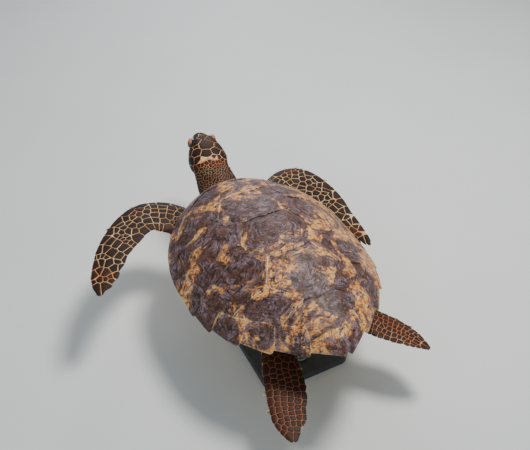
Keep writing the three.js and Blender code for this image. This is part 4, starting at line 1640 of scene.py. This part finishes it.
def make_scale(seed, chance):
    """The finished scale as lists of points, faces and how far each point is from an edge."""
    planes = cutting_planes(seed)
    if len(planes) < 3:
        return None
    kept = patch_faces(seed, planes)
    bm = bmesh.new()
    verts = {}
    for face in kept:
        for index in face_verts[face]:
            if index not in verts:
                verts[index] = bm.verts.new(skin_co[index])
        bm.faces.new([verts[index] for index in face_verts[face]])
    bound = seed["reach"] * 2.0
    side = seed["normal"].orthogonal().normalized()
    other_side = seed["normal"].cross(side)
    for k in range(BOUND_SIDES):
        turn = TAU * k / BOUND_SIDES
        out = side * math.cos(turn) + other_side * math.sin(turn)
        planes.append((seed["place"] + out * bound, out))
    for point, out in planes:
        offset = point.dot(out)
        if all(vert.co.dot(out) <= offset for vert in bm.verts):
            continue
        cut_by_plane(bm, point, out)
        if not bm.faces:
            bm.free()
            return None
    bm.normal_update()
    level = {vert: (vert.co.copy(), vert.normal.copy()) for vert in bm.verts}
    raised = bmesh.ops.extrude_face_region(bm, geom=bm.faces[:])
    top = {item for item in raised["geom"] if isinstance(item, bmesh.types.BMVert)}
    small = seed["reach"] < SHIELD_FROM
    height = (GRANULE_HEIGHT if small else SHIELD_HEIGHT) * chance.uniform(0.9, 1.1)
    shoulder = GRANULE_SHOULDER if small else SHIELD_SHOULDER
    inner = {}
    for vert in bm.verts:
        depth = min((point - vert.co).dot(out) for point, out in planes)
        part = min(1, max(0, depth / shoulder))
        inner[vert] = (part, vert in top)
        if vert not in top:
            where, normal = level[vert]
            vert.co = where - normal * FOOT
    for vert in top:
        part = inner[vert][0]
        rise = height * (0.35 + 0.65 * (1 - (1 - part) ** 2))
        way = vert.normal if vert.normal.length > 0.5 else seed["normal"]
        vert.co = vert.co + way * rise
    bmesh.ops.recalc_face_normals(bm, faces=bm.faces)
    bm.verts.index_update()
    points = [vert.co.copy() for vert in bm.verts]
    faces = [[vert.index for vert in face.verts] for face in bm.faces]
    swell = [inner[vert][0] if inner[vert][1] else 0.0 for vert in bm.verts]
    bm.free()
    return points, faces, swell


chance = random.Random(11)
trial = make_scale(seeds[0], chance)
print("points in the largest shield:", len(trial[0]))

# %% [markdown]
# ## Markings
# Skin and scales share one set of markings, so that both are painted by the same rules: how
# pale the underside is, how warm the orange runs, and how pink the creased skin of the neck
# shows. Each vertex carries these numbers, and the finishes only turn them into colours.

# %% Markings for any point of the body
def markings(place, normal, part, along, angle):
    """Pale, warm and pink, each from 0 to 1."""
    drift = noise.noise(place * 9) * 0.35
    pale = 1 - smoothstep(normal.z + drift, -0.45, 0.10)
    if part == "head":
        pale = 1 - smoothstep(math.sin(angle) + drift * 0.4, -0.62, -0.30)
    if part == "trunk":
        pale = 1 - smoothstep(place.z - BODY.z + drift * 0.05, -0.075, -0.050)
    warm = smoothstep(noise.noise(place * 21 + Vector((5, 2, 9))), 0.18, 0.55) * 0.7
    if part.startswith("hind"):
        warm = max(warm, 0.35 + 0.5 * smoothstep(noise.noise(place * 16), -0.2, 0.4))
    pink = 0.0
    if part == "neck":
        pink = 0.75 - 0.35 * smoothstep(along, 0.75, 1.0)
    elif part in ("trunk", "tail"):
        pink = 0.75
    elif part != "head":
        pink = 0.7 * (1 - smoothstep(along, 0.14, 0.30))
    if part == "head" and along < 0.15 and math.sin(angle) > 0.2:
        warm, pink = 0.75 * (1 - smoothstep(along, 0.09, 0.14)), 0.0
    # Both hind flippers' skin shows pink, the left one more and so darker: that extra darkness is painted
    # shade on the side away from the key lamp.
    if part.startswith("hind"):
        pink = 0.9 if part == "hind_left" else 0.5
    return pale, warm, pink * (1 - pale)


# %% Skin and scale finishes
def markings_group():
    """Colours of the bare skin between the scales, and of the scales themselves."""
    group = bpy.data.node_groups.new("turtle_markings", "ShaderNodeTree")
    for name in ("Pale", "Warm", "Pink", "Tone", "Swell"):
        group.interface.new_socket(name, in_out="INPUT", socket_type="NodeSocketFloat")
    group.interface.new_socket("Place", in_out="INPUT", socket_type="NodeSocketVector")
    for name in ("Skin", "Scale"):
        group.interface.new_socket(name, in_out="OUTPUT", socket_type="NodeSocketColor")
    inside = add(group, "NodeGroupInput").outputs
    fine = spots(group, inside["Place"], 240.0, 3.0)
    wide = spots(group, inside["Place"], 55.0, 2.0)

    skin = blend_colour(group, mask_between(group, wide, 0.35, 0.65), paint("#cd9560"), paint("#ecce9f"))
    skin = blend_colour(group, inside["Warm"], skin, paint("#cc6f30"))
    skin = blend_colour(group, inside["Pink"], skin, paint("#84503f"))
    skin = blend_colour(group, inside["Pale"], skin, paint("#e4cf9f"))
    skin = blend_colour(group, times(group, mask_between(group, fine, 0.5, 0.75), 0.35),
                        skin, paint("#7c5340"))

    rim = opposite(group, inside["Swell"])
    dark = blend_colour(group, inside["Tone"], paint("#0d0706"), paint("#22120e"))
    dark = blend_colour(group, times(group, mask_between(group, wide, 0.42, 0.66), 0.35),
                        dark, paint("#341b13"))
    dark = blend_colour(group, times(group, inside["Warm"], 0.45), dark, paint("#55270f"))
    dark = blend_colour(group, times(group, rim, 0.35), dark, paint("#0f0a0a"))
    pale_scale = blend_colour(group, mask_between(group, inside["Tone"], 0.45, 0.75),
                              paint("#d9bd87"), paint("#7a5135"))
    pale_scale = blend_colour(group, times(group, rim, 0.5), pale_scale, paint("#e3cd9c"))
    scale = blend_colour(group, inside["Pale"], dark, pale_scale)
    scale = blend_colour(group, times(group, fine, 0.10), scale, paint("#8a6650"))
    outside = add(group, "NodeGroupOutput")
    group.links.new(skin, outside.inputs["Skin"])
    group.links.new(scale, outside.inputs["Scale"])
    return group


MARKINGS = markings_group()
BODY_SPECULAR = 0.16


def body_finish(name, output, rough, grain, depth):
    finish, tree, shader = new_finish(name, rough, BODY_SPECULAR)
    place = own_place(tree)
    marks = add(tree, "ShaderNodeGroup", node_tree=MARKINGS)
    tree.links.new(place, marks.inputs["Place"])
    for tag in ("Pale", "Warm", "Pink", "Tone", "Swell"):
        tree.links.new(painted(tree, tag.lower()), marks.inputs[tag])
    tree.links.new(marks.outputs[output], shader.inputs["Base Color"])
    cells = add(tree, "ShaderNodeTexVoronoi", {"Vector": place, "Scale": grain}, feature="F1")
    relief_height = plus(tree, times(tree, cells.outputs["Distance"], 0.7),
                         spots(tree, place, grain * 0.7))
    bump(tree, shader, relief_height, depth)
    return finish


SKIN_FINISH = body_finish("leathery_skin", "Skin", 0.55, 620.0, 0.35 * MM)
SCALE_FINISH = body_finish("horny_scales", "Scale", 0.50, 260.0, 0.16 * MM)
print("finishes for skin and scales mixed")


# %% [markdown]
# The scales are cut and gathered into coats, one or two for each part of the body. Each scale
# also gets its own small patch in a map called OFBake. The patch sits at the root's place on
# an unwrap of the skin: head and neck unrolled like a label, blades laid out flat.

# %% Unwrap of the skin
PATCH = 0.003
# Left, bottom, width and height of the field that a part has in the map.
FIELDS = {
    "head": (0.02, 0.52, 0.30, 0.46), "neck": (0.34, 0.52, 0.30, 0.46),
    "trunk": (0.66, 0.52, 0.20, 0.46), "tail": (0.88, 0.52, 0.10, 0.46),
    "front_left": (0.02, 0.02, 0.26, 0.46), "front_right": (0.30, 0.02, 0.26, 0.46),
    "hind_left": (0.58, 0.02, 0.19, 0.46), "hind_right": (0.79, 0.02, 0.19, 0.46),
}


def root_on_map(seed):
    left, bottom, wide, tall = FIELDS[seed["part"]]
    return left + wide * (seed["angle"] / TAU), bottom + tall * min(1, max(0, seed["along"]))


def patch_map(seed, points):
    """Each point's place in the scale's own small patch."""
    side = seed["normal"].orthogonal().normalized()
    other = seed["normal"].cross(side)
    u0, v0 = root_on_map(seed)
    flat = [((point - seed["place"]).dot(side), (point - seed["place"]).dot(other)) for point in points]
    span = max(max(abs(a), abs(b)) for a, b in flat) * 2 + 1e-6
    return [(u0 + a / span * PATCH, v0 + b / span * PATCH) for a, b in flat]


# %% Gather the scales into coats
TAGS = ("pale", "warm", "pink", "tone", "swell")
MOST_TRIANGLES = 180000


def round_the_edge(point):
    """A scale folded over an edge is dark above, pale below, with a pale line on the fold."""
    height = math.sin(whereabouts(point)[2])
    below = 1 - smoothstep(height, -0.35, -0.15)
    return max(below, 0.85 * (1 - smoothstep(abs(height), 0.05, 0.16)))


class Coat:
    def __init__(self):
        self.points, self.faces, self.maps, self.triangles = [], [], [], 0
        self.tags = {tag: [] for tag in TAGS}

    def lay(self, seed, made, tone):
        points, faces, swell = made
        first = len(self.points)
        pale, warm, pink = markings(seed["place"], seed["normal"], seed["part"], seed["along"],
                                    seed["angle"])
        self.points += points
        self.maps += patch_map(seed, points)
        self.faces += [[index + first for index in face] for face in faces]
        self.triangles += sum(len(face) - 2 for face in faces)
        for tag, value in (("pale", pale), ("warm", warm), ("pink", pink), ("tone", tone)):
            self.tags[tag] += [value] * len(points)
        if seed["wraps"]:
            self.tags["pale"][first:] = [round_the_edge(point) for point in points]
        self.tags["swell"] += swell

    def finish(self, name):
        mesh = bpy.data.meshes.new(name)
        mesh.from_pydata(self.points, [], self.faces)
        mesh.update()
        for tag, values in self.tags.items():
            mesh.attributes.new(tag, "FLOAT", "POINT").data.foreach_set("value", values)
        corner_verts = np.zeros(len(mesh.loops), int)
        mesh.loops.foreach_get("vertex_index", corner_verts)
        mesh.uv_layers.new(name="OFBake").data.foreach_set("uv", np.array(self.maps)[corner_verts].ravel())
        return finish_mesh(name, mesh, SCALE_FINISH, crease=60)


def lay_coats():
    groups = {}
    for seed in seeds:
        groups.setdefault(seed["part"], []).append(seed)
    total = 0
    for part, members in groups.items():
        chance = random.Random(part)
        coat, number = Coat(), 1
        for seed in members:
            made = None if seed["bare"] else make_scale(seed, chance)
            if made is None:
                continue
            coat.lay(seed, made, chance.random())
            if coat.triangles > MOST_TRIANGLES:
                total += coat.triangles
                coat.finish(f"scales_{part}_{number}")
                coat, number = Coat(), number + 1
        total += coat.triangles
        coat.finish(f"scales_{part}_{number}")
    return total


print("triangles in the coats:", lay_coats())

# %% [markdown]
# Under the shell nobody sees the skin, so there it is thinned out hard; everywhere else it
# keeps its detail. The lids join it as rings round the eyes, so that they share its finish.

# %% Eyelids
LID_OPEN_LONG = math.radians(44)
LID_OPEN_TALL = math.radians(29)
LID_REACH, LID_TALL = 0.0165, 0.0145
# Section of a lid: degrees past its margin, and distance from the eye's middle in millimetres.
LID_SECTION = [(0, 12.6), (-1.5, 13.2), (-1.0, 13.8), (1.8, 14.3), (6, 14.5), (10, 14.2),
               (13, 14.5), (19, 14.6), (25, 14.3), (34, 13.5), (46, 12.2), (58, 10.0), (50, 8.8),
               (30, 10.0), (12, 11.8)]


def lid_place(side, turn, section):
    centre, out, forward, up = EYE_FRAMES[side]
    count = len(LID_SECTION)
    row = section * count
    lower, upper = LID_SECTION[int(row) % count], LID_SECTION[(int(row) + 1) % count]
    past = lerp(lower[0], upper[0], row - int(row))
    reach = lerp(lower[1], upper[1], row - int(row)) * MM
    c, s = math.cos(turn), math.sin(turn)
    opening = ((abs(c) / LID_OPEN_LONG) ** 2 + (abs(s) / LID_OPEN_TALL) ** 2) ** -0.5
    tilt = opening + math.radians(past)
    around = forward * c + up * s
    return centre + (out * math.cos(tilt) + around * math.sin(tilt)) * reach


def ring_of(steps_round, steps_section, place):
    """A closed ring: a grid whose four sides are welded in pairs."""
    bm = bmesh.new()
    bmesh.ops.create_grid(bm, x_segments=steps_round, y_segments=steps_section, size=0.5)
    for vert in bm.verts:
        vert.co = place(round_again(vert.co.x + 0.5), round_again(vert.co.y + 0.5))
    bmesh.ops.remove_doubles(bm, verts=bm.verts, dist=WELD)
    bmesh.ops.recalc_face_normals(bm, faces=bm.faces)
    return bm


# %% Thin the hidden skin and dress it
SKIN_NODES = ["trunk", "neck", "head", "tail", "flipper_front_left", "flipper_front_right",
              "flipper_hind_left", "flipper_hind_right"]
SKIN_MOST = 95000


def thin_hidden(mesh):
    hidden = []
    for vert in mesh.vertices:
        flat = vert.co - BODY
        inside = abs(flat.x) < half_width(along_at(flat.y)) - 0.010 and abs(flat.y) < 0.285
        above = flat.z > dome_at(flat.x, flat.y) - 0.030
        below = flat.z < plastron_height(flat.x, along_at(flat.y)) + 0.020
        if inside and (above or below):
            hidden.append(vert.index)
    share = min(1.0, SKIN_MOST / len(mesh.polygons))
    return settled(mesh, "DECIMATE", only=hidden, ratio=share)


def dress_skin():
    thin = thin_hidden(skin_mesh)
    bm = bmesh.new()
    bm.from_mesh(thin)
    for side in (-1, 1):
        join_into(bm, ring_of(72, len(LID_SECTION) * 2,
                              lambda u, v, s=side: lid_place(s, u * TAU, v)))
    bm.normal_update()
    tags = {tag: bm.verts.layers.float.new(tag) for tag in TAGS}
    for vert in bm.verts:
        part, along, angle = whereabouts(vert.co)
        pale, warm, pink = markings(vert.co, vert.normal, part, along, angle)
        on_lid = [(vert.co - centre).dot(up) for centre, _, _, up in EYE_FRAMES.values()
                  if (vert.co - centre).length < LID_REACH]
        if on_lid:
            rise = max(on_lid) / LID_TALL
            streak = 0.3 * noise.noise(vert.co * 240)
            warm, pale = 0.6, 0.0
            # Toward the top of each lid the skin turns from dark pink to lighter orange: a painted
            # highlight on the upper lid.
            pink = lerp(1.0, 0.35, smoothstep(rise + streak, 0.1, 1.0))
        vert[tags["pale"]], vert[tags["warm"]], vert[tags["pink"]] = pale, warm, pink
    return finish_piece("skin", bm, SKIN_FINISH, SKIN_NODES, crease=80)


skin = dress_skin()
print("triangles of the skin:", sum(len(face.vertices) - 2 for face in skin.data.polygons))

# %% [markdown]
# ## Eyes
# The eyeball is a sphere whose pole looks out of the head, with a slight swell for the
# cornea. Each vertex carries its angle from the pole, which paints pupil and iris.

# %% Eye finish and eyeballs
def eye_finish():
    finish, tree, shader = new_finish("wet_eye", 0.08, 0.6)
    angle = painted(tree, "gaze")
    place = own_place(tree)
    fibres = spots(tree, place, 900.0, 3.0)
    iris = blend_colour(tree, mask_between(tree, fibres, 0.35, 0.7), paint("#2a1a10"), paint("#5b3a20"))
    iris = blend_colour(tree, mask_between(tree, angle, 0.50, 0.62), iris, paint("#150e0b"))
    colour = blend_colour(tree, mask_between(tree, angle, 0.25, 0.29), paint("#030303"), iris)
    tree.links.new(colour, shader.inputs["Base Color"])
    shader.inputs["Coat Weight"].default_value = 1.0
    shader.inputs["Coat Roughness"].default_value = 0.03
    return finish


EYE_FINISH = eye_finish()
CORNEA_RISE = 0.0005


def make_eye(side):
    centre, out, forward, up = EYE_FRAMES[side]
    bm = bmesh.new()
    bmesh.ops.create_uvsphere(bm, u_segments=48, v_segments=32, radius=EYE_RADIUS)
    tag = bm.verts.layers.float.new("gaze")
    frame_turn = Matrix((forward, up, out)).transposed()
    for vert in bm.verts:
        gaze = vert.co.angle(Vector((0, 0, 1)))
        vert[tag] = gaze
        swell = CORNEA_RISE * (1 - smoothstep(gaze, 0.35, 0.7))
        vert.co = centre + frame_turn @ (vert.co * (1 + swell / EYE_RADIUS))
    name = "eye_left" if side < 0 else "eye_right"
    finish_piece(name.replace("eye", "eyeball"), bm, EYE_FINISH, [name], crease=80)


for side in (-1, 1):
    make_eye(side)
print("eyes made")

# %% [markdown]
# ## Beak and claws
# The beak is horn over the jaws: the upper half hooks down over the lower. Both follow the
# head's own rings, cut flat along the mouth line. Streaked amber horn serves for the claws too.

# %% Horn finish
def horn_finish():
    finish, tree, shader = new_finish("streaked_horn", 0.32)
    place = own_place(tree)
    stretched = add(tree, "ShaderNodeMapping", {"Vector": place, "Scale": (230, 230, 60)})
    streaks = spots(tree, stretched.outputs[0], 1.0, 4.0, 0.6, 0.4)
    fine = spots(tree, place, 420.0)
    amber = blend_colour(tree, mask_between(tree, fine, 0.35, 0.65), paint("#c2954e"), paint("#dcbc7c"))
    brown = blend_colour(tree, fine, paint("#3a2418"), paint("#241610"))
    dark = painted(tree, "dark")
    mask = mask_between(tree, plus(tree, streaks, times(tree, dark, 0.55)), 0.52, 0.66)
    tree.links.new(blend_colour(tree, mask, amber, brown), shader.inputs["Base Color"])
    shader.inputs["Coat Weight"].default_value = 0.15
    shader.inputs["Coat Roughness"].default_value = 0.2
    bump(tree, shader, plus(tree, streaks, fine), 0.18 * MM)
    return finish


HORN_FINISH = horn_finish()

# %% The two halves of the beak
BEAK_UPPER_FROM, BEAK_TOP_FROM, BEAK_LOWER_FROM = 0.745, 0.875, 0.685
BEAK_LOWER_TO = 0.945
BEAK_PROUD, BEAK_SUNK = 0.0003, 0.0016
BEAK_GROOVES, BEAK_RIDGE, BEAK_GAP = 0.00025, 0.0012, 0.0007
NOSTRIL = dict(out=0.0052, along=0.865, up=0.0125, reach=0.0021, depth=0.0030)


def mouth_height(along):
    """Mouth line in the head's own height: level behind, dropping into the hook in front."""
    hook = 0.0062 * smoothstep(along, 0.91, 0.975)
    return MOUTH_UP + 0.0015 * math.sin(math.pi * smoothstep(along, 0.72, 0.95)) - hook


def beak_upper_place(u, v):
    start = lerp(BEAK_UPPER_FROM, BEAK_TOP_FROM, smoothstep(math.sin(v * TAU), 0.35, 0.85))
    along = lerp(start, 0.998, u ** 0.9)
    wide, tall, deep = from_table(HEAD_FORM, along)
    back = 1 - smoothstep(along, start, start + 0.02)
    proud = BEAK_PROUD - BEAK_SUNK * back ** 2
    out, rise = round_ring(v * TAU, (wide + proud, tall + proud, deep + proud), HEAD_POWER)
    floor = mouth_height(along)
    ridge = bell(out, BEAK_RIDGE, 0.004) * smoothstep(along, 0.78, 0.9) if rise > 0 else 0
    if rise < floor:
        out *= 0.96
    height = max(rise, floor) + ridge
    curl = 0.022 * smoothstep(along, 0.90, 1.0) * smoothstep(height, -0.017, 0.004)
    return Vector((out, along - curl, height))


def beak_lower_place(u, v):
    along = lerp(BEAK_LOWER_FROM, BEAK_LOWER_TO, u)
    wide, tall, deep = from_table(HEAD_FORM, along)
    back = 1 - smoothstep(along, BEAK_LOWER_FROM, BEAK_LOWER_FROM + 0.02)
    front = smoothstep(along, 0.80, BEAK_LOWER_TO)
    proud = BEAK_PROUD - BEAK_SUNK * back ** 2 - BEAK_SUNK * front
    out, rise = round_ring(v * TAU, (wide + proud, tall, deep + proud - 0.0065 * front ** 2), HEAD_POWER)
    return Vector((out, along, min(rise, mouth_height(along) - BEAK_GAP)))


def make_beak(name, node, place, steps_along):
    bm = wrapped(steps_along, 96, lambda u, v: head_place(*place(u, v)))
    tag = bm.verts.layers.float.new("dark")
    bm.normal_update()
    for vert in bm.verts:
        local = HEAD_INVERSE @ vert.co
        along = local.y / HEAD_LENGTH
        top = smoothstep(local.z, -0.004, 0.012)
        vert[tag] = min(1.0, top + 0.25 * smoothstep(along, 0.93, 1.0))
        pit = Vector((abs(local.x) - NOSTRIL["out"], local.y - NOSTRIL["along"] * HEAD_LENGTH,
                      local.z - NOSTRIL["up"])).length
        sink = bell(pit, NOSTRIL["depth"], NOSTRIL["reach"])
        groove = BEAK_GROOVES * math.sin(along * 330 + noise.noise(local * 60) * 3)
        # The nostril pits are painted dark brown: painted shade standing in for the depth of the openings.
        if sink > 0.0004:
            vert[tag] = 1.0
        vert.co = vert.co - vert.normal * (sink + groove * smoothstep(along, 0.72, 0.78))
    finish_piece(name, bm, HORN_FINISH, [node], crease=55)


make_beak("upper_beak", "beak_upper", beak_upper_place, 46)
make_beak("lower_beak", "beak_lower", beak_lower_place, 40)
print("beak made")

# %% Claws
CLAWS = {"front": (0.4, 0.52), "hind": (0.5, 0.64)}
CLAW_LENGTH, CLAW_RADIUS, CLAW_SUNK = 0.017, 0.0034, 0.007
CLAW_POINT, CLAW_SWEEP, CLAW_DROP = 0.0003, 0.0025, 0.0015


def make_claw(name, along, number):
    blade = BLADES[name]
    point, lead, up = blade_frame(blade, along)
    to_tip = (blade_frame(blade, along + 0.05)[0] - point).normalized()
    chord = from_table(blade["form"], along)[0]
    aim = (lead + to_tip * 0.8).normalized()
    root = point + lead * (chord - CLAW_SUNK)
    across = aim.cross(up).normalized()

    def place(u, v):
        radius = CLAW_RADIUS * (1 - u ** 1.8) + CLAW_POINT
        bend = (to_tip * CLAW_SWEEP - up * CLAW_DROP) * u ** 2
        turn = v * TAU
        return (root + aim * (u * CLAW_LENGTH * 0.985) + bend
                + across * math.cos(turn) * radius + up * math.sin(turn) * radius * 0.8)
    bm = wrapped(14, 16, place)
    tag = bm.verts.layers.float.new("dark")
    for vert in bm.verts:
        vert[tag] = 0.55 - 0.5 * (vert.co - root).length / CLAW_LENGTH
    node = f"claw_{name}_{number}"
    finish_piece(node.replace("claw", "horn_claw"), bm, HORN_FINISH, [node], crease=60)


for name in BLADES:
    for number, along in enumerate(CLAWS[name.split("_")[0]], 1):
        make_claw(name, along, number)
print("claws made:", pieces_named("horn_claw"))

# %% [markdown]
# ## The plastron
# The belly is armoured too: six pairs of flat plates meet on the midline, and four small ones
# bridge the gap to the margin on each side. They are cut from grids in the same way as the
# plates above, and laid on the plastron's curve. Their horn is pale, with brown clouds.

# %% Belly plates
BELLY_SEAMS = [0.132, 0.195, 0.30, 0.425, 0.555, 0.68, 0.818]
BRIDGE_FROM, BRIDGE_TO, BRIDGE_WIDTH = 0.27, 0.62, 0.034
BELLY_CELL = 0.003
BELLY_EDGE_RISE, BELLY_EDGE_WIDTH = 0.0010, 0.0035
BELLY_SWELL, BELLY_FOOT, BELLY_INSET = 0.0006, 0.0008, 0.0014


def belly_finish():
    finish, tree, shader = new_finish("pale_belly_horn", 0.42)
    place = own_place(tree)
    cloud = spots(tree, place, 20.0, 4.0, 0.6, 0.4)
    fine = spots(tree, place, 160.0)
    ground = blend_colour(tree, mask_between(tree, fine, 0.35, 0.65), paint("#d8bf86"), paint("#e8d7aa"))
    ground = blend_colour(tree, times(tree, mask_between(tree, cloud, 0.54, 0.68), 0.6),
                          ground, paint("#8d5f37"))
    seam = opposite(tree, mask_between(tree, painted(tree, "edge"), 0.5 * MM, 2.5 * MM))
    shade = blend_colour(tree, times(tree, seam, 0.6), ground, paint("#7b5533"))
    tree.links.new(shade, shader.inputs["Base Color"])
    rings = calc(tree, "SINE", times(tree, painted(tree, "edge"), 1800.0))
    bump(tree, shader, plus(tree, times(tree, rings, 0.3), fine), 0.2 * MM)
    shader.inputs["Coat Weight"].default_value = 0.1
    return finish


BELLY_FINISH = belly_finish()


def make_belly_plate(name, outline):
    sides = edges_of(outline)
    bm = cut_sheet(outline, 0, BELLY_CELL, [(start - out * SEAM_GAP, out) for start, out in sides])
    edge_tag = bm.verts.layers.float.new("edge")
    for vert in bm.verts:
        x, y = vert.co.x, vert.co.y
        inside = max(0, depth_inside(x, y, sides))
        vert[edge_tag] = inside
        rounded = BELLY_EDGE_RISE * max(0, 1 - inside / BELLY_EDGE_WIDTH) ** 2
        swell = BELLY_SWELL * noise.noise(Vector((x * 22, y * 22, 2)))
        height = plastron_height(x, along_at(y)) + rounded + swell + BELLY_FOOT
        vert.co = BODY + Vector((x, y, height))
    thicken(bm, PLASTRON_DEPTH - BELLY_INSET)
    finish_piece(name, bm, BELLY_FINISH, ["plastron"], crease=45)


def belly_edge(along):
    bridge = BRIDGE_WIDTH * smoothstep(along, BRIDGE_FROM - 0.05, BRIDGE_FROM + 0.03)
    bridge *= 1 - smoothstep(along, BRIDGE_TO - 0.03, BRIDGE_TO + 0.05)
    return plastron_half_width(along) - bridge


for side in (-1, 1):
    label = "left" if side < 0 else "right"
    for k, (start, end) in enumerate(zip(BELLY_SEAMS, BELLY_SEAMS[1:]), 1):
        middle = (start + end) / 2
        widest = max(belly_edge(middle), (belly_edge(start) + belly_edge(end)) / 2)
        outline = [Vector((0, y_at(start))), Vector((side * belly_edge(start), y_at(start))),
                   Vector((side * widest, y_at(middle))),
                   Vector((side * belly_edge(end), y_at(end))), Vector((0, y_at(end)))]
        make_belly_plate(f"belly_plate_{label}_{k}", outline)
    for k in range(4):
        start, end = (lerp(BRIDGE_FROM, BRIDGE_TO, (k + j) / 4) for j in (0, 1))
        outline = [Vector((side * belly_edge(start), y_at(start))),
                   Vector((side * plastron_half_width(start), y_at(start))),
                   Vector((side * plastron_half_width(end), y_at(end))),
                   Vector((side * belly_edge(end), y_at(end)))]
        make_belly_plate(f"bridge_plate_{label}_{k + 1}", outline)
print("belly plates:", pieces_named("belly_plate") + pieces_named("bridge_plate"))
